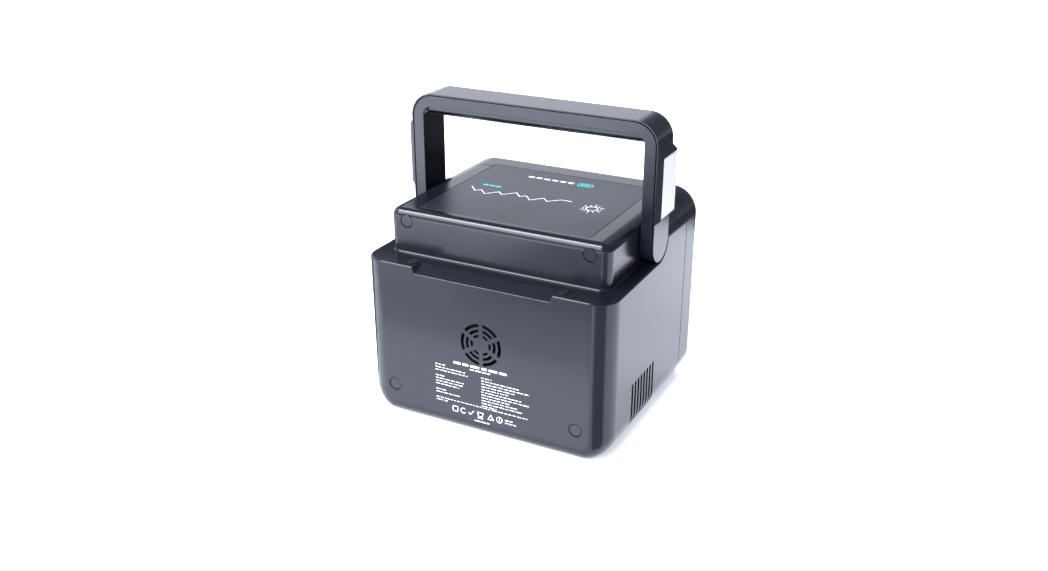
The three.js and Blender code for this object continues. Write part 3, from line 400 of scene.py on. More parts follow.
def glossy_glass(name, color):
    """Black display glass with faint smears in its gloss."""
    material, tree, shader = principled(name, color, 0.06)
    smears = textured(tree, "ShaderNodeTexNoise", Scale=60.0, Detail=3.0)
    vary(tree, shader, "Roughness", smears, (0.35, 0.04), (0.75, 0.11))
    shader.inputs["Coat Weight"].default_value = 0.6
    shader.inputs["Coat Roughness"].default_value = 0.03
    return material


def milky(name, color):
    """A white light diffuser with a fine prismatic texture."""
    material, tree, shader = principled(name, color, 0.3)
    shader.inputs["Subsurface Weight"].default_value = 0.25
    shader.inputs["Subsurface Scale"].default_value = 2 * MM
    prisms = textured(tree, "ShaderNodeTexWave", Scale=260.0, Distortion=0.0, bands_direction="Z")
    roughen(tree, shader, prisms, 0.3, 0.03 * MM)
    return material


def board_lacquer(name, color):
    """Green solder resist, with tracks that show through as slightly lighter cells."""
    material, tree, shader = principled(name, color, 0.4)
    tracks = textured(tree, "ShaderNodeTexVoronoi", "Distance", Scale=220.0, distance="MANHATTAN")
    vary(tree, shader, "Base Color", tracks, (0.25, color), (0.3, scaled(color, 1.7)))
    return material


def wrap_film(name, color):
    """Shrink film over a cell, with small tight wrinkles."""
    material, tree, shader = principled(name, color, 0.3)
    wrinkles = textured(tree, "ShaderNodeTexNoise", Scale=180.0, Detail=2.0)
    roughen(tree, shader, wrinkles, 0.3, 0.05 * MM)
    vary(tree, shader, "Base Color", wrinkles, (0.3, scaled(color, 0.8)), (0.7, color))
    return material


def wound(name, color):
    """Varnished laminations: thin dark lines across a brown core."""
    material, tree, shader = principled(name, color, 0.45)
    layers = textured(tree, "ShaderNodeTexWave", Scale=420.0, Distortion=0.4, bands_direction="Y")
    vary(tree, shader, "Base Color", layers, (0.2, scaled(color, 0.5)), (0.6, color))
    return material


def ink(name, color):
    """Screen-printed ink, slightly uneven in tone."""
    material, tree, shader = principled(name, color, 0.5)
    patches = textured(tree, "ShaderNodeTexNoise", Scale=900.0, Detail=2.0)
    vary(tree, shader, "Base Color", patches, (0.3, scaled(color, 0.88)), (0.6, color))
    return material


add_camera()

# ---- case shells

MAIN_EDGE = 1.5 * MM
NOTCH_EDGE = 0.5 * MM
RIM_EDGE = 0.3 * MM
SEAM_GAP = 0.8 * MM
PANEL_GROOVE = 0.5 * MM
VENT_WALL = 0.8 * MM
NOTCH_HALF, NOTCH_TAPER, NOTCH_INSET, NOTCH_DROP = 53.9 * MM, 2 * MM, 9 * MM, 5.2 * MM
GRILLE_Z = JOINTS["fan_spin"]["pos_m"][2]
GRILLE_RINGS = ((15.8 * MM, 13.4 * MM), (11.7 * MM, 9.6 * MM), (7.9 * MM, 6.1 * MM))
SPOKE_COUNT = 6
SPOKE_WIDTH = 3 * MM
VENT_COUNT = 8
VENT_PITCH = 5.5 * MM
VENT_WIDTH = 3.1 * MM
VENT_FIRST_Y = 1.1 * MM
VENT_LOW, VENT_HIGH = 8 * MM, 45.6 * MM
VENT_INNER, VENT_OUTER = 84 * MM, 97 * MM
COVERS = ("low_plug_left", "low_plug_right", "high_plug_left", "high_plug_right")
BUMPERS = ("handle_bumper_left", "handle_bumper_right")
PIN_RADIUS = 4 * MM
REAR_FEET = ("foot_rear_left", "foot_rear_right")
FRONT_FEET = ("foot_front_left", "foot_front_right")


def measured(node):
    """A CAD node's box, and its middle."""
    low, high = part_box(node)
    return low, high, (low + high) / 2


def round_inset(radius, reach):
    """How far a rounded edge has come in, at a distance reach from the flat that it ends in."""
    if radius <= 0 or reach >= radius:
        return 0.0
    return radius - math.sqrt(radius ** 2 - (radius - reach) ** 2)


def case_section(y, inset, steps):
    """The case's outline across Y: 20 mm corners, drawn in where the front and rear edges are rounded."""
    to_rear = max(REAR_Y - inset - y, 0)
    to_front = max(y - FRONT_Y - inset, 0)
    side = round_inset(REAR_CORNER - inset, to_rear) + round_inset(FRONT_CORNER - inset, to_front)
    high = round_inset(FRONT_EDGE - inset, to_front)
    low = round_inset(REAR_BOTTOM - inset, to_rear) + high
    corner = SIDE_RADIUS - inset
    x = HALF_WIDTH - inset - corner
    bottom = BOTTOM_Z + inset + corner
    top = TOP_Z - inset - corner
    corners = ((-x, bottom, low, 180), (x, bottom, low, 270), (x, top, high, 0), (-x, top, high, 90))
    points = []
    for cx, cz, rise, start in corners:
        points += arc(cx, cz, corner - side, corner - rise, start, start + 90, steps)
    return [(px, y, pz) for px, pz in points]


def case_block(inset=0.0, steps=12, stations=12):
    """The case before the ledge is cut, lofted from front to rear."""
    front, rear = FRONT_Y + inset, REAR_Y - inset
    front_round, rear_round = FRONT_CORNER - inset, REAR_CORNER - inset
    turns = [math.radians(90 * i / stations) for i in range(stations + 1)]
    places = [front + front_round * (1 - math.cos(t)) for t in turns]
    places += [rear - rear_round * (1 - math.sin(t)) for t in turns]
    return loft([case_section(y, inset, steps) for y in places])


def channel_tool(inset=0.0, steps=14):
    """Everything above the ledge and behind the channel's rounded front end."""
    radius = RECESS_RADIUS + inset
    beyond = 20 * MM
    outline = [(REAR_Y + beyond, LEDGE_Z - inset), (REAR_Y + beyond, TOP_Z + beyond),
               (PIVOT.y - radius, TOP_Z + beyond)]
    outline += arc(PIVOT.y, PIVOT.z, radius, radius, 180, 270, steps)
    return prism(outline, "X", -HALF_WIDTH - beyond, HALF_WIDTH + beyond)


def raised_block(inset=0.0, steps=10):
    """The raised box, whose rounded top edges blend at its rear corners."""
    half = RAISED_HALF - inset
    rear = RAISED_REAR - inset
    top = TOP_Z - inset
    corner = RAISED_CORNER - inset
    edge = RAISED_TOP_EDGE - inset
    front = PIVOT.y - 2 * RECESS_RADIUS
    low = LEDGE_Z - inset - 10 * MM
    levels = [(low, 0.0)]
    for i in range(steps + 1):
        t = math.radians(90 * i / steps)
        levels.append((top - edge * (1 - math.sin(t)), edge * (1 - math.cos(t))))
    rings = []
    for z, shrink in levels:
        radii = (0, 0, corner - shrink, corner - shrink)
        outline = rounded(-half + shrink, front, half - shrink, rear - shrink, radii, steps)
        rings.append([(x, y, z) for x, y in outline])
    return loft(rings)


def case_form(inset=0.0):
    """The whole case with its ledge, channel and raised box, or its hollow when inset."""
    case = object_from("case_form", case_block(inset))
    raised = object_from("raised_form", raised_block(inset))
    combine(raised, [case_block(inset)], "INTERSECT")
    combine(case, [channel_tool(inset)])
    combine(case, [taken(raised)], "UNION")
    clean(case, 0.2 * MM)
    return case


def notch_tool():
    """A wedge that opens the ledge's outer edge for the fingertips."""
    above = 2 * MM
    inner_y, low_z = REAR_Y - NOTCH_INSET, LEDGE_Z - NOTCH_DROP
    low_x = NOTCH_HALF - NOTCH_TAPER
    inner_x = low_x - MM
    points = []
    for side in (-1, 1):
        points += [(side * inner_x, inner_y, LEDGE_Z), (side * inner_x, inner_y, LEDGE_Z + above),
                   (side * NOTCH_HALF, REAR_Y + above, LEDGE_Z + above), (side * NOTCH_HALF, REAR_Y, LEDGE_Z),
                   (side * low_x, REAR_Y, low_z), (side * low_x, REAR_Y + above, low_z)]
    return hull_of(points)


def grille_tools():
    """One curved slot for each gap between two spokes, its ends parallel to the spokes."""
    tools = []
    sector = 180 / SPOKE_COUNT
    for outer, inner in GRILLE_RINGS:
        outer_half, inner_half = (sector - math.degrees(math.asin(SPOKE_WIDTH / 2 / r))
                                  for r in (outer, inner))
        for k in range(SPOKE_COUNT):
            middle = 90 + (2 * k + 1) * sector
            outline = arc(0, GRILLE_Z, outer, outer, middle - outer_half, middle + outer_half, 12)
            outline += arc(0, GRILLE_Z, inner, inner, middle + inner_half, middle - inner_half, 12)
            tools.append(prism(outline, "Y", REAR_Y - WALL - MM, REAR_Y + MM))
    return tools


def vent_tools():
    tools = []
    for x0, x1 in both_sides(VENT_INNER, VENT_OUTER):
        for k in range(VENT_COUNT):
            y = VENT_FIRST_Y + k * VENT_PITCH
            outline = rounded(y - VENT_WIDTH / 2, VENT_LOW, y + VENT_WIDTH / 2, VENT_HIGH, 0.5 * MM, 3)
            tools.append(prism(outline, "X", x0, x1))
    return tools


def vent_backs():
    """Where the wall is thinner behind the vents."""
    beyond = 4 * MM
    first, last = VENT_FIRST_Y - beyond, VENT_FIRST_Y + (VENT_COUNT - 1) * VENT_PITCH + beyond
    return [block(x0, x1, first, last, VENT_LOW - beyond, VENT_HIGH + 3 * MM)
            for x0, x1 in both_sides(70 * MM, VENT_OUTER)]


def pin_holes(inner, outer):
    """Room for the two pivot pins."""
    return [rod("X", PIVOT.y, PIVOT.z, PIN_RADIUS + GAP, x0, x1) for x0, x1 in both_sides(inner, outer)]


def recess_tools():
    """Recesses for the screw covers, the bumpers and the pivot pins."""
    tools = []
    for name in COVERS:
        low, high, at = measured(name)
        tools.append(rod("Y", at.x, at.z, (high.x - low.x) / 2 + GAP, low.y - GAP, high.y + 2 * MM))
    for name in BUMPERS:
        low, high, at = measured(name)
        tools.append(rod("Z", at.x, at.y, (high.x - low.x) / 2 + GAP, low.z - GAP, high.z + 2 * MM))
    return tools + pin_holes(78 * MM, 88 * MM)


def foot_tools(names):
    tools = []
    for name in names:
        low, high, at = measured(name)
        tools.append(rod("Z", at.x, at.y, (high.x - low.x) / 2 + GAP, -MM, high.z + GAP))
    return tools


def panel_pocket():
    low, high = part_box("top_panel")
    gap = PANEL_GROOVE
    outline = rounded(low.x - gap, low.y - gap, high.x + gap, high.y + gap, 3 * MM)
    return prism(outline, "Z", low.z - GAP, high.z + MM)


def front_mouth():
    """The opening in the front face that the front panel stands in."""
    half, low, high = PANEL_HALF + GAP, PANEL_BOTTOM - GAP, PANEL_TOP + GAP
    outline = rounded(-half, low, half, high, PANEL_CORNER + GAP, 12)
    return prism(outline, "Y", FRONT_Y - MM, FRONT_Y + 4 * MM)


def inner_tools():
    """What stands on the shells' inside: the notch's backing, the screw bosses and the board rails."""
    tools = [block(-58 * MM, 58 * MM, 70 * MM, REAR_Y - MM, LEDGE_Z - 10 * MM, LEDGE_Z - MM)]
    boss_radius, boss_front = 6 * MM, -78.5 * MM
    for name in COVERS:
        low, _, at = measured(name)
        tools.append(rod("Y", at.x, at.z, boss_radius, boss_front, low.y - MM, 24))
    low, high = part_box("inverter_board")
    for x0, x1 in both_sides(80 * MM, 93 * MM):
        tools.append(block(x0, x1, low.y, high.y, low.z - 4 * MM, low.z - GAP))
    return tools


def split_at_seam(case):
    """Two copies of the case, one on each side of the seam."""
    reach = 10 * MM
    wide = HALF_WIDTH + reach
    shells = []
    for name, y0, y1 in (("rear_case", SEAM_Y + SEAM_GAP / 2, REAR_Y + reach),
                         ("front_case", FRONT_Y - reach, SEAM_Y - SEAM_GAP / 2)):
        shell = link(name, case.data.copy())
        combine(shell, [block(-wide, wide, y0, y1, -reach, TOP_Z + reach)], "INTERSECT")
        shells.append(shell)
    discard(case)
    return shells


def make_case(material):
    case = case_form()
    soften(case, MAIN_EDGE, 4)
    combine(case, [notch_tool()])
    soften(case, NOTCH_EDGE, 3, where=in_notch)
    skin = surface_of(case)
    hollow = case_form(WALL)
    combine(hollow, inner_tools())
    thinned = object_from("thinned_form", case_block(VENT_WALL))
    combine(thinned, [merged(vent_backs())], "INTERSECT")
    combine(hollow, [taken(thinned)], "UNION")
    combine(case, [taken(hollow)])
    rear, front = split_at_seam(case)
    combine(rear, [merged(grille_tools() + vent_tools() + recess_tools() + foot_tools(REAR_FEET)),
                   panel_pocket()])
    combine(front, [front_mouth(), panel_pocket(), merged(foot_tools(FRONT_FEET))])
    for shell, node in ((rear, "rear_shell"), (front, "front_shell")):
        clean(shell)
        soften(shell, RIM_EDGE, 2, where=lambda e: on_surface(e, skin), clamp=True)
        shell.data.materials.append(material)
        shade(shell, 24)
        fit_out(shell, "case", [node])


def in_notch(edge):
    middle = (edge.verts[0].co + edge.verts[1].co) / 2
    near = 0.2 * MM
    low = LEDGE_Z - NOTCH_DROP - near < middle.z < LEDGE_Z + near
    return low and REAR_Y - NOTCH_INSET - near < middle.y and abs(middle.x) < NOTCH_HALF + near


# ---- handle

LEG_OUTER, LEG_INNER = 95 * MM, 85.3 * MM
HANDLE_RADIUS = 14.25 * MM
HANDLE_TOP = HANDLE_HIGH.z
HANDLE_OUTER_CORNER, HANDLE_INNER_CORNER = 17 * MM, 6.5 * MM
GRIP_REAR, GRIP_FRONT = 9.6 * MM, 20.5 * MM
COVER_LIP = 0.9 * MM
COVER_GAP = 0.7 * MM
COVER_THICKNESS = 3 * MM
COVER_END = PIVOT.z + 4 * MM
HANDLE_EDGE = 0.7 * MM
LENS_LOW, LENS_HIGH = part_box("lamp_lens_left")
LAMP_FACE = HANDLE_HIGH.x
LAMP_SLOPE = 3.5 * MM
LENS_GAP = 0.9 * MM


def handle_outline(offset, low, steps=14):
    """The U's outer outline seen from the front, drawn in by an offset."""
    outer = LEG_OUTER - offset
    corner = HANDLE_OUTER_CORNER - offset
    return rounded(-outer, low, outer, HANDLE_TOP - offset, (0, 0, corner, corner), steps)


def handle_window(steps=10):
    beyond = 30 * MM
    outline = rounded(-LEG_INNER, LEDGE_Z - beyond, LEG_INNER, HANDLE_TOP - GRIP_REAR,
                      (0, 0, HANDLE_INNER_CORNER, HANDLE_INNER_CORNER), steps)
    return prism(outline, "Y", PIVOT.y - beyond, PIVOT.y + beyond)


def leg_tool(steps=20):
    """Both legs' side outline: straight, with a half-round end about the pivot."""
    r = HANDLE_RADIUS
    outline = [(PIVOT.y + r, HANDLE_TOP + MM), (PIVOT.y - r, HANDLE_TOP + MM)]
    outline += arc(PIVOT.y, PIVOT.z, r, r, 180, 360, steps)
    return prism(outline, "X", -HALF_WIDTH - MM, HALF_WIDTH + MM)


def grip_tool(steps=12):
    """The deep front part of the grip, with a convex underside that rises to the rear."""
    r = HANDLE_RADIUS
    low = HANDLE_TOP - GRIP_FRONT
    rear_low = HANDLE_TOP - GRIP_REAR
    nose = 2 * MM
    start = Vector((PIVOT.y - r + nose, low))
    middle = Vector((PIVOT.y + 4 * MM, low + 0.5 * MM))
    end = Vector((PIVOT.y + r, rear_low))
    outline = [(PIVOT.y + r, rear_low + 4 * MM), (PIVOT.y - r, rear_low + 4 * MM)]
    outline += arc(PIVOT.y - r + nose, low + nose, nose, nose, 180, 270, 5)[:-1]
    for i in range(steps + 1):
        t = i / steps
        point = start * (1 - t) ** 2 + middle * 2 * t * (1 - t) + end * t ** 2
        outline.append((point.x, point.y))
    return prism(outline, "X", -LEG_INNER - 0.5 * MM, LEG_INNER + 0.5 * MM)


def lamp_housing_tool(side):
    """The raised lamp housing on one leg, with sloping ends and a sloping rear edge."""
    base = side * (LEG_OUTER - 0.5 * MM)
    face = side * LAMP_FACE
    front = PIVOT.y - HANDLE_RADIUS
    rear = LENS_HIGH.y + 0.8 * MM
    low, high = LENS_LOW.z - LENS_GAP, LENS_HIGH.z + LENS_GAP
    points = []
    for y, x, spread in ((front, base, LAMP_SLOPE), (front, face, 0),
                         (rear + 2 * MM, base, LAMP_SLOPE), (rear, face, 0)):
        points += [(x, y, low - spread), (x, y, high + spread)]
    return hull_of(points)


def lens_block(side, grow=0.0):
    """The diffuser's space, which reaches round to the handle's front face."""
    x0, x1 = sorted((side * (LAMP_FACE - (LENS_HIGH.x - LENS_LOW.x) - grow), side * (LAMP_FACE + grow)))
    return block(x0, x1, LENS_LOW.y - grow, LENS_HIGH.y + grow, LENS_LOW.z - grow, LENS_HIGH.z + grow)


def make_handle(plastic, diffuser):
    r = HANDLE_RADIUS
    handle = object_from("handle_frame_shell", prism(handle_outline(0, PIVOT.z - r - MM), "Y",
                                                     PIVOT.y - r, PIVOT.y + r))
    combine(handle, [handle_window()])
    combine(handle, [leg_tool()], "INTERSECT")
    combine(handle, [grip_tool()], "UNION")
    combine(handle, [lamp_housing_tool(-1), lamp_housing_tool(1)], "UNION")
    clean(handle, 0.05 * MM)
    soften(handle, HANDLE_EDGE, 3, clamp=True)
    skin = surface_of(handle)
    cover_tool = prism(handle_outline(COVER_LIP, COVER_END - GAP), "Y",
                       PIVOT.y + r - COVER_THICKNESS - GAP, PIVOT.y + r + MM)
    pins = pin_holes(LEG_INNER - MM, 91 * MM + GAP)
    combine(handle, [cover_tool, merged(pins), merged([lens_block(-1, GAP), lens_block(1, GAP)])])
    clean(handle)
    soften(handle, 0.2 * MM, 2, where=lambda e: on_surface(e, skin), clamp=True)

    cover = object_from("handle_cover_shell", prism(handle_outline(COVER_LIP + COVER_GAP, COVER_END), "Y",
                                                    PIVOT.y + r - COVER_THICKNESS, PIVOT.y + r))
    combine(cover, [handle_window()])
    soften(cover, 0.35 * MM, 3, where=lambda e: min(v.co.y for v in e.verts) > PIVOT.y + r - 0.1 * MM)
    for piece, node in ((handle, "handle_frame"), (cover, "handle_cover")):
        piece.data.materials.append(plastic)
        shade(piece)
        fit_out(piece, "handle", [node])
    for side, hand in ((-1, "left"), (1, "right")):
        lens = object_from(f"lamp_diffuser_{hand}", lens_block(side), diffuser)
        soften(lens, 0.6 * MM, 4)
        shade(lens)
        fit_out(lens, "handle", [f"lamp_lens_{hand}"])


# ---- small outside parts

def make_top_panel(material):
    low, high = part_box("top_panel")
    outline = rounded(low.x, low.y, high.x, high.y, 2.7 * MM, 8)
    panel = object_from("top_panel_plate", prism(outline, "Z", low.z, high.z), material)
    soften(panel, 0.15 * MM, 3)
    shade(panel)
    fit_out(panel, "case", ["top_panel"])


def turned(name, profile, at, axis, material, sides=48):
    """A turned piece: (radius, height) pairs spun about an axis through a point."""
    place = AXES[axis]
    bm = bmesh.new()
    rings = []
    for radius, height in profile:
        if radius == 0:
            rings.append([bm.verts.new(Vector(place(0, 0, height)) + at)])
        else:
            ring = circle(0, 0, radius, sides)
            rings.append([bm.verts.new(Vector(place(a, b, height)) + at) for a, b in ring])
    for low, high in zip(rings, rings[1:]):
        for i in range(sides):
            j = (i + 1) % sides
            if len(low) == 1:
                bm.faces.new((low[0], high[j], high[i]))
            elif len(high) == 1:
                bm.faces.new((low[i], low[j], high[0]))
            else:
                bm.faces.new((low[i], low[j], high[j], high[i]))
    bmesh.ops.recalc_face_normals(bm, faces=bm.faces)
    piece = object_from(name, bm, material)
    return shade(piece, 30)


def edge_round(radius, height, size, steps=4):
    """(radius, height) pairs of a rounded rim that ends a turned piece's side."""
    return arc(radius - size, height - size, size, size, 0, 90, steps)


def make_screw_covers(material):
    for name in COVERS:
        low, high, at = measured(name)
        radius = (high.x - low.x) / 2 - 0.15 * MM
        depth = high.y - low.y - 0.15 * MM
        profile = [(0, 0), (radius, 0)] + edge_round(radius, depth, 0.3 * MM) + [(0, depth)]
        piece = turned(f"{name}_cap", profile, Vector((at.x, low.y, at.z)), "Y", material)
        fit_out(piece, "case", [name])


def make_rubber_parts(material):
    for name in BUMPERS:
        low, high, at = measured(name)
        radius, height = (high.x - low.x) / 2, high.z - low.z
        profile = [(0, 0), (radius, 0)] + edge_round(radius, height, 0.4 * MM)
        profile += [(radius * 0.62, height), (radius * 0.55, height - 0.25 * MM), (0, height - 0.25 * MM)]
        piece = turned(f"{name}_pad", profile, Vector((at.x, at.y, low.z)), "Z", material)
        fit_out(piece, "case", [name])
    for name in REAR_FEET + FRONT_FEET:
        low, high, at = measured(name)
        radius, height = (high.x - low.x) / 2, high.z - low.z
        rim = [(r, height - h) for r, h in reversed(edge_round(radius, height, 0.7 * MM))]
        groove = [(0, 0.4 * MM), (radius * 0.45, 0.4 * MM), (radius * 0.52, 0)]
        profile = groove + rim + [(radius, height), (0, height)]
        piece = turned(f"{name}_pad", profile, Vector((at.x, at.y, low.z)), "Z", material)
        fit_out(piece, "case", [name])


# ---- front panel and its fittings

BUTTON_JOINTS = {"power_button": "power_press", "lamp_button": "lamp_press",
                 "dc_button": "dc_press", "ac_button": "ac_press"}
AC_OUTLETS = ("ac_outlet_left", "ac_outlet_right")
USB_PORTS = ("usb_a_port_1", "usb_a_port_2", "usb_c_port")
JACKS = ("dc_jack_1", "dc_jack_2", "charge_jack")
HOLE_CORNERS = {"display_window": 1.5 * MM, "ac_outlet_left": 5 * MM, "ac_outlet_right": 5 * MM,
                "usb_a_port_1": 0.8 * MM, "usb_a_port_2": 0.8 * MM, "usb_c_port": 2.2 * MM}
BUTTON_RADIUS = 5.7 * MM
SOCKET_BARREL = 13 * MM


def hole_tool(node, grow, corner=None):
    """A tool through the front panel: round with grow as its radius, or a rectangle round the node's box."""
    low, high, at = measured(node)
    panel_low, panel_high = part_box("front_panel")
    y0, y1 = panel_low.y - MM, panel_high.y + MM
    if corner is None:
        return rod("Y", at.x, at.z, grow, y0, y1)
    outline = rounded(low.x - grow, low.z - grow, high.x + grow, high.z + grow, corner, 6)
    return prism(outline, "Y", y0, y1)


def make_front_panel(material):
    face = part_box("display_window")[0].y
    back = face + 3.3 * MM
    flange_face, flange_half, flange_rim = face + 1.3 * MM, 83 * MM, 3 * MM
    outline = rounded(-PANEL_HALF, PANEL_BOTTOM, PANEL_HALF, PANEL_TOP, PANEL_CORNER, 12)
    panel = object_from("front_panel_plate", prism(outline, "Y", face, back), material)
    flange = rounded(-flange_half, PANEL_BOTTOM - flange_rim, flange_half, PANEL_TOP + flange_rim,
                     PANEL_CORNER + 2 * MM, 12)
    combine(panel, [prism(flange, "Y", flange_face, back)], "UNION")
    holes = [hole_tool("car_socket", SOCKET_BARREL + GAP)]
    holes += [hole_tool(name, BUTTON_RADIUS + GAP) for name in BUTTON_JOINTS]
    holes += [hole_tool(name, GAP, corner) for name, corner in HOLE_CORNERS.items()]
    for name in JACKS:
        low, high, _ = measured(name)
        holes.append(hole_tool(name, (high.x - low.x) / 2 + GAP))
    combine(panel, [merged(holes)])
    clean(panel)
    soften(panel, 0.35 * MM, 3, where=lambda e: max(v.co.y for v in e.verts) < face + 0.05 * MM, clamp=True)
    shade(panel)
    fit_out(panel, "case", ["front_panel"])


def make_display(material):
    low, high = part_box("display_window")
    outline = rounded(low.x, low.z, high.x, high.z, 1.2 * MM, 6)
    window = object_from("display_glass_plate", prism(outline, "Y", low.y, high.y), material)
    soften(window, 0.3 * MM, 3)
    shade(window)
    fit_out(window, "case", ["display_window"])


def make_buttons(plastic, print_ink):
    for name, joint in BUTTON_JOINTS.items():
        low, high, at = measured(name)
        radius, collar = BUTTON_RADIUS, 7.2 * MM
        depth = high.y - low.y
        collar_start = depth - 1.3 * MM
        dish = 0.35 * MM
        profile = [(0, dish), (radius * 0.5, dish * 0.75), (radius * 0.8, dish * 0.2), (radius - 0.5 * MM, 0)]
        profile += [(radius - 0.2 * MM, 0.08 * MM), (radius, 0.35 * MM), (radius, collar_start)]
        profile += [(collar, collar_start), (collar, depth), (0, depth)]
        cap = turned(f"{name}_cap", profile, Vector((at.x, low.y, at.z)), "Y", plastic)
        body = JOINTS[joint]["child"]
        fit_out(cap, body, [name])
        print_on(f"{name}_icon", button_icon(name, at, low.y + 0.02 * MM), print_ink, body)


def softened_copy(node, material, width, body="case"):
    """A CAD node's own shape with its facets merged and its edges rounded, which stands for it."""
    piece = link(f"{node}_body", frame["nodes"][node].data.copy())
    piece.data.materials.clear()
    piece.data.materials.append(material)
    with edited(piece) as bm:
        bmesh.ops.remove_doubles(bm, verts=bm.verts, dist=0.002 * MM)
        bmesh.ops.dissolve_limit(bm, angle_limit=math.radians(0.5), verts=bm.verts, edges=bm.edges)
    soften(piece, width, 2, clamp=True, angle=40)
    shade(piece, 42)
    fit_out(piece, body, [node])


def make_outlets(plastic, metal, contact):
    for name in AC_OUTLETS:
        softened_copy(name, plastic, 0.3 * MM)
        make_blade_contacts(name, contact)
    for name in USB_PORTS:
        softened_copy(name, metal, 0.12 * MM)
    for name in JACKS:
        low, high, at = measured(name)
        outer = (high.x - low.x) / 2
        bore = outer - 2.45 * MM
        depth = high.y - low.y
        floor = depth - 2 * MM
        pin = 0.95 * MM
        profile = [(0, 1.2 * MM), (pin * 0.7, 1.2 * MM), (pin, 1.5 * MM), (pin, floor), (bore, floor)]
        profile += [(bore, 0.4 * MM), (bore + 0.4 * MM, 0), (outer - 0.4 * MM, 0), (outer, 0.4 * MM)]
        profile += [(outer, depth), (0, depth)]
        piece = turned(f"{name}_barrel", profile, Vector((at.x, low.y, at.z)), "Y", plastic)
        fit_out(piece, "case", [name])
    make_car_socket(plastic, metal)


def make_blade_contacts(name, contact):
    """Sprung contacts that show deep in an outlet's slots."""
    low, _, at = measured(name)
    slot_offset, half_thickness = 6.4 * MM, 0.9 * MM
    start, end = low.y + 6 * MM, low.y + 12 * MM
    bottom, top = at.z + 0.4 * MM, at.z + 7.6 * MM
    for k, x in enumerate((at.x - slot_offset, at.x + slot_offset)):
        shape = block(x - half_thickness, x + half_thickness, start, end, bottom, top)
        blade = object_from(f"{name}_contact_{k + 1}", shape, contact)
        soften(blade, 0.2 * MM, 2)
        shade(blade)
        fit_out(blade, "case")


def make_car_socket(plastic, metal):
    low, high, at = measured("car_socket")
    mouth = Vector((at.x, low.y, at.z))
    depth = high.y - low.y
    flange, barrel, bore = 15.5 * MM, SOCKET_BARREL, 10.6 * MM
    flange_depth = 1.1 * MM
    floor = depth - 3 * MM
    profile = [(0, floor), (bore, floor), (bore, 1.0 * MM), (bore + 0.9 * MM, 0.1 * MM), (bore + 1.2 * MM, 0)]
    profile += [(flange - 0.5 * MM, 0), (flange - 0.15 * MM, 0.15 * MM), (flange, 0.5 * MM)]
    profile += [(flange, flange_depth), (barrel, flange_depth), (barrel, depth), (0, depth)]
    socket = turned("car_socket_barrel", profile, mouth, "Y", plastic, 64)
    fit_out(socket, "case", ["car_socket"])
    outer = bore - 0.05 * MM
    inner = outer - 0.4 * MM
    start, end = 4 * MM, floor - 0.2 * MM
    liner = [(inner, start), (outer, start - 0.4 * MM), (outer, end), (inner, end), (inner, start)]
    sleeve = turned("car_socket_sleeve", liner, mouth, "Y", metal, 64)
    fit_out(sleeve, "case")
    radius, base = 2.2 * MM, floor - 0.1 * MM
    button = [(0, floor - 3 * MM), (1.6 * MM, floor - 2.8 * MM), (radius, floor - 2 * MM)]
    button += [(radius, base), (0, base)]
    centre = turned("car_socket_centre_contact", button, mouth, "Y", metal, 32)
    fit_out(centre, "case")


# ---- fan and inner parts

def make_fan(plastic):
    softened_copy("fan_frame", plastic, 0.3 * MM)
    softened_copy("fan_rotor", plastic, 0.15 * MM, body="fan")


def dress_inner_parts():
    """Gives each CAD node that still shows its own procedural material."""
    looks = {"steel": steel, "circuit_board": circuit_board, "aluminium": aluminium, "cell_wrap": cell_wrap,
             "tray_plastic": tray_plastic, "core": core, "front_plastic": front_plastic}
    for part in frame["record"]["subparts"]:
        node = frame["nodes"].get(part["node"])
        if node and not node.hide_render:
            node.data.materials.clear()
            node.data.materials.append(looks[part["material_slot"]])


# ---- printed graphics

INK = 0.04 * MM
SMALL_PRINT = 0.6


def add_prism(bm, outline, place):
    """A thin printed patch: its outline carried up by the ink's thickness."""
    low = [bm.verts.new(place(a, b, 0)) for a, b in outline]
    high = [bm.verts.new(place(a, b, INK)) for a, b in outline]
    count = len(outline)
    bm.faces.new(low[::-1])
    bm.faces.new(high)
    for i in range(count):
        j = (i + 1) % count
        bm.faces.new((low[i], low[j], high[j], high[i]))


def add_bar(bm, a0, b0, a1, b1, place):
    add_prism(bm, [(a0, b0), (a1, b0), (a1, b1), (a0, b1)], place)


def add_stroke(bm, points, width, place, closed=False):
    """A printed line of even width along points, mitred at its corners."""
    path = [Vector(p) for p in points]
    count = len(path)
    sides = []
    for i, p in enumerate(path):
        before = path[i - 1] if (i > 0 or closed) else None
        after = path[(i + 1) % count] if (i < count - 1 or closed) else None
        ahead = (after - p).normalized() if after is not None else (p - before).normalized()
        behind = (p - before).normalized() if before is not None else ahead
        tangent = (ahead + behind).normalized()
        normal = Vector((-tangent.y, tangent.x))
        reach = width / 2 / max(normal.dot(Vector((-ahead.y, ahead.x))), 0.4)
        sides.append((p + normal * reach, p - normal * reach))
    rings = []
    for left, right in sides:
        corners = ((left, 0), (right, 0), (right, INK), (left, INK))
        rings.append([bm.verts.new(place(q.x, q.y, h)) for q, h in corners])
    pairs = list(zip(rings, rings[1:])) + ([(rings[-1], rings[0])] if closed else [])
    for first, second in pairs:
        for i in range(4):
            j = (i + 1) % 4
            bm.faces.new((first[i], first[j], second[j], second[i]))
    if not closed:
        bm.faces.new(rings[0][::-1])
        bm.faces.new(rings[-1])


def print_on(name, bm, ink_material, body):
    bmesh.ops.recalc_face_normals(bm, faces=bm.faces)
    fit_out(object_from(name, bm, ink_material), body)


def spokes(centre, inner, outer, count):
    """Short lines that stand round a centre; every second one may have its own outer end."""
    for k in range(count):
        t = 2 * math.pi * k / count
        turn = Vector((math.cos(t), math.sin(t)))
        yield [centre + turn * inner, centre + turn * outer[k % len(outer)]]


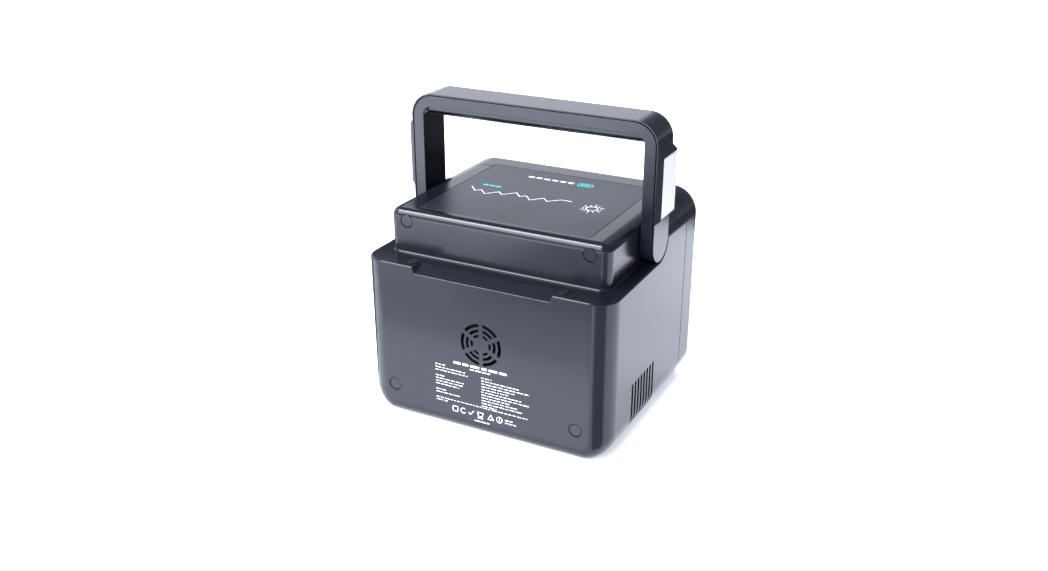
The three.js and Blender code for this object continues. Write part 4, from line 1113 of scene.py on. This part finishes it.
def button_icon(name, at, y):
    """A small generic symbol for one button, drawn in millimetres about the button's centre."""
    bm = bmesh.new()

    def stroke(points, closed=False):
        add_stroke(bm, points, 0.42, lambda a, b, h: (at.x + a * MM, y - h, at.z + b * MM), closed)

    if name == "power_button":
        stroke(arc(0, 0, 2, 2, 125, 415, 20))
        stroke([(0, 0.6), (0, 2.7)])
    elif name == "lamp_button":
        stroke(circle(0, 0, 1.1), closed=True)
        for line in spokes(Vector((0, 0)), 1.9, (2.8,), 8):
            stroke(line)
    elif name == "dc_button":
        stroke([(-2.4, 0.7), (2.4, 0.7)])
        for start in (-2.4, -0.6, 1.2):
            stroke([(start, -0.7), (start + 1.2, -0.7)])
    else:
        stroke([(-2.4 + 4.8 * k / 16, 1.2 * math.sin(2 * math.pi * k / 16)) for k in range(17)])
    return bm


def make_rear_label(white):
    """The block of small print on the rear, in millimetres: blank bars for words, plain symbols below."""
    draw = random.Random(7)
    bm = bmesh.new()

    def place(a, b, h):
        return (-a * MM, REAR_Y + h, b * MM)

    def words(left, right, level, height=SMALL_PRINT, word=(1.6, 5.2), space=0.9):
        a = left
        while a < right - 0.8:
            end = min(a + draw.uniform(*word), right)
            add_bar(bm, a, level - height / 2, end, level + height / 2, place)
            a = end + space

    def stroke(points, closed=False):
        add_stroke(bm, points, 0.55, place, closed)

    words(-22, 21, 55.6, 1.7, (4, 9), 1.5)
    words(-9, 7, 52.9, 0.9, (3, 6))
    left_column, right_column, line_pitch = -37, 0, 2.2
    for k, end in enumerate((-29, -13, -11, None, -30, -13, -15, -18, None, -28, -16)):
        if end is not None:
            words(left_column, end, 51.2 - k * line_pitch)
    for k, end in enumerate((8, 30, 37, 26, 21, 31, 37, 23, 28, 33, 12)):
        words(right_column, end, 48.4 - k * line_pitch)
    words(left_column, 36, 24.9)
    words(left_column, -26, 22.9)
    z = 18.6
    stroke(rounded(-23.5, z - 2, -19.5, z + 2, 0.8, 3), closed=True)
    stroke(arc(-15, z, 2, 2, 40, 320, 14))
    stroke([(-10.6, z), (-9.2, z - 1.6), (-6.4, z + 2)])
    stroke([(-3.4, z + 1.8), (-2.6, z - 1.4), (0.2, z - 1.4), (1.0, z + 1.8)], closed=True)
    add_bar(bm, -3.4, z - 3.0, 1.0, z - 2.3, place)
    stroke([(5, z - 1.7), (9.4, z - 1.7), (7.2, z + 2.1)], closed=True)
    stroke(circle(14, z, 2.2), closed=True)
    stroke([(14, z - 1.1), (14, z + 1.1)])
    words(18.5, 25, 19.6, 0.8)
    words(18.5, 27, 17.4, 0.8)
    words(-6, 6, 13.2, 0.85, (3, 5))
    print_on("rear_label_print", bm, white, "case")


def make_top_graphics(white, teal):
    """Plain outdoor graphics on the top panel, in millimetres, to be read from the front."""
    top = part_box("top_panel")[1].z

    def place(a, b, h):
        return (-a * MM, b * MM, top + h)

    bm = bmesh.new()
    ridge = [(-56, -5), (-49, 3), (-45.5, -0.5), (-39, 6.5), (-31.5, -2), (-27, 2.5), (-19, -6), (-13.5, 0.5),
             (-9.5, -3), (-3.5, 4), (4, -4), (9, 1), (17, -6.5), (25, -6.5)]
    add_stroke(bm, ridge, 0.7, place)
    sun = Vector((44, 1))
    add_stroke(bm, circle(sun.x, sun.y, 4.2), 0.8, place, closed=True)
    for ray in spokes(sun, 5.8, (7.4, 8.6), 12):
        add_stroke(bm, ray, 0.7, place)
    row = -44.5
    for k in range(6):
        a = -28.5 + k * 6.6
        add_bar(bm, a, row - 1.5, a + 4.6, row + 1.5, place)
    print_on("top_graphics_white", bm, white, "case")
    bm = bmesh.new()
    add_stroke(bm, rounded(13, row - 3.2, 23.4, row + 3.2, 1.2, 4), 0.9, place, closed=True)
    for k in range(3):
        add_bar(bm, 14.8 + 2.6 * k, row - 1.9, 16.6 + 2.6 * k, row + 1.9, place)
    add_bar(bm, 24.1, row - 1.4, 25.2, row + 1.4, place)
    for k in range(3):
        a = -50 + k * 5.2
        add_bar(bm, a, -13.6, a + 4, -11.2, place)
    print_on("top_graphics_teal", bm, teal, "case")


# ---- stage and light

def glow(name, color, strength):
    material = bpy.data.materials.new(name)
    material.use_nodes = True
    tree = material.node_tree
    tree.nodes.clear()
    emission = add_node(tree, "ShaderNodeEmission", Strength=strength)
    emission.inputs["Color"].default_value = (*color, 1)
    output = tree.nodes.new("ShaderNodeOutputMaterial")
    tree.links.new(emission.outputs["Emission"], output.inputs["Surface"])
    return material


# Name, place, aim, width, height, power, colour, and the kind of ray that doesn't see it
LIGHTS = (
    ("front_softbox", (0.25, -1.0, 1.7), (0, 0.15, 0), 2.2, 1.4, 62, (0.9, 0.93, 1.0), "glossy"),
    ("rear_fill", (0.4, 1.7, 1.5), (0, 0.2, 0), 2.0, 1.4, 150, (0.9, 0.94, 1.0), "glossy"),
    ("edge_softbox", (0.75, 0.6, 1.45), (0.75, 0.6, 0), 0.75, 0.46, 30, (0.93, 0.96, 1.0), "diffuse"),
    ("sheen_softbox", (0.95, 1.47, 1.45), (0.95, 1.47, 0), 1.0, 1.27, 38, (0.93, 0.96, 1.0), "diffuse"),
)


def softbox(name, location, target, width, height, power, color, unseen_by):
    data = bpy.data.lights.new(name, "AREA")
    data.shape = "RECTANGLE"
    data.size = width
    data.size_y = height
    data.energy = power
    data.color = color
    lamp = bpy.data.objects.new(name, data)
    lamp.location = location
    lamp.rotation_mode = "QUATERNION"
    lamp.rotation_quaternion = (Vector(target) - Vector(location)).to_track_quat("-Z", "Y")
    bpy.context.scene.collection.objects.link(lamp)
    setattr(lamp, f"visible_{unseen_by}", False)


def make_world():
    """A pale surround up to a low horizon, open to the dark above and to one side."""
    world = bpy.data.worlds.new("studio")
    world.use_nodes = True
    tree = world.node_tree
    direction = add_node(tree, "ShaderNodeSeparateXYZ")
    tree.links.new(add_node(tree, "ShaderNodeTexCoord").outputs["Generated"], direction.inputs["Vector"])
    lean = add_node(tree, "ShaderNodeMath", operation="MULTIPLY_ADD")
    lean.inputs[1].default_value = -0.6
    tree.links.new(direction.outputs["X"], lean.inputs[0])
    tree.links.new(direction.outputs["Z"], lean.inputs[2])
    pale, dim, dark = (0.86, 0.91, 1.0), (0.14, 0.15, 0.18), (0.06, 0.065, 0.08)
    sky = ramp(tree, lean.outputs["Value"], [(0.19, pale), (0.29, dim), (1.0, dark)])
    backdrop = add_node(tree, "ShaderNodeMix")
    backdrop.data_type = "RGBA"
    factor, _, _, _, _, _, hidden, seen = list(backdrop.inputs)[:8]
    seen.default_value = (0.86, 0.9, 0.97, 1)
    tree.links.new(add_node(tree, "ShaderNodeLightPath").outputs["Is Camera Ray"], factor)
    tree.links.new(sky, hidden)
    background = tree.nodes["Background"]
    tree.links.new(backdrop.outputs[2], background.inputs["Color"])
    background.inputs["Strength"].default_value = 1.7
    bpy.context.scene.world = world


def card(name, outline, color, strength, height=None):
    """A flat card that only reflections see: at one height, or with a height at each corner."""
    bm = bmesh.new()
    bm.faces.new([bm.verts.new(at if height is None else (*at, height)) for at in outline])
    piece = object_from(name, bm, glow(name, color, strength))
    piece.visible_camera = False
    piece.visible_diffuse = False
    piece.visible_shadow = False
    piece.visible_transmission = False


def make_cards():
    """Cards that shade the floor's reflection in the rear wall, the corners and the handle."""
    blue = (0.8, 0.88, 1.0)
    corner = Vector((-0.085, 0.075))
    sector = []
    for reach, turns in ((0.015, (66, 38, 10)), (1.4, (10, 38, 66))):
        for turn in turns:
            t = math.radians(turn)
            sector.append(corner + Vector((-math.sin(t), math.cos(t))) * reach)
    card("corner_card", sector, blue, 0.6, 0.0008)
    for name, y0, y1, strength in (("near_card", 0.1, 0.21, 4.0), ("middle_card", 0.21, 0.41, 2.4),
                                   ("far_card", 0.41, 1.2, 6.6)):
        card(name, [(-0.08, y0), (0.95, y0), (0.95, y1), (-0.08, y1)], blue, strength, 0.0004)
    card("patch_card", [(-0.08, 0.3), (0.15, 0.3), (0.17, 0.8), (-0.08, 0.8)], blue, 0.9, 0.0006)
    card("front_card", [(-5.9, -5.9), (0.12, -5.9), (0.12, -0.4), (-5.9, -0.4)], blue, 0.15, 0.0004)
    flag = [(0.104, -0.05, 0.002), (0.5, -0.05, 0.002), (0.5, -0.05, 0.196), (0.104, -0.05, 0.196)]
    card("ledge_flag", flag, blue, 0.1)
    card("left_card", [(0.13, -0.34), (0.8, -1.5), (1.2, -0.2), (0.4, 0.06), (0.13, 0.06)], blue, 0.4, 0.0004)


def make_stage():
    floor_material, _, shader = principled("studio_floor", (0.86, 0.89, 0.95), 0.7, specular=0.1)
    shader.inputs["Emission Color"].default_value = (0.86, 0.9, 0.97, 1)
    shader.inputs["Emission Strength"].default_value = 0.65
    floor = object_from("studio_floor", block(-6, 6, -6, 6, -0.02, 0), floor_material)
    make_world()
    make_cards()
    for light in LIGHTS:
        softbox(*light)
    view = bpy.context.scene.view_settings
    view.view_transform = "Standard"
    view.look = "None"


case_plastic = moulded("case_plastic", (0.0065, 0.0075, 0.0115), 0.19, specular=0.4)
panel_plastic = moulded("panel_plastic", (0.012, 0.0135, 0.02), 0.36, grain=0.16 * MM, specular=0.42)
front_plastic = moulded("front_plastic", (0.011, 0.012, 0.015), 0.34, grain=0.16 * MM, specular=0.42)
button_plastic = moulded("button_plastic", (0.06, 0.065, 0.08), 0.38, grain=0.16 * MM)
tray_plastic = moulded("tray_plastic", (0.012, 0.012, 0.013), 0.5)
rubber = moulded("rubber", (0.0065, 0.007, 0.0095), 0.6, grain=0.35 * MM, depth=0.02 * MM, specular=0.3)
steel = brushed("steel", (0.55, 0.56, 0.58), 0.32)
aluminium = brushed("aluminium", (0.62, 0.63, 0.65), 0.38)
copper = brushed("contact_metal", (0.75, 0.55, 0.32), 0.3)
glass = glossy_glass("display_glass", (0.006, 0.007, 0.009))
diffuser = milky("lamp_diffuser", (0.74, 0.74, 0.735))
circuit_board = board_lacquer("circuit_board", (0.012, 0.075, 0.035))
cell_wrap = wrap_film("cell_wrap", (0.02, 0.13, 0.4))
core = wound("core", (0.14, 0.085, 0.035))
ink_white = ink("ink_white", (0.74, 0.76, 0.8))
ink_teal = ink("ink_teal", (0.02, 0.45, 0.42))

make_stage()
make_case(case_plastic)
make_handle(case_plastic, diffuser)
make_top_panel(panel_plastic)
make_screw_covers(case_plastic)
make_rubber_parts(rubber)
make_front_panel(front_plastic)
make_display(glass)
make_buttons(button_plastic, ink_white)
make_outlets(front_plastic, steel, copper)
make_fan(tray_plastic)
dress_inner_parts()
make_rear_label(ink_white)
make_top_graphics(ink_white, ink_teal)
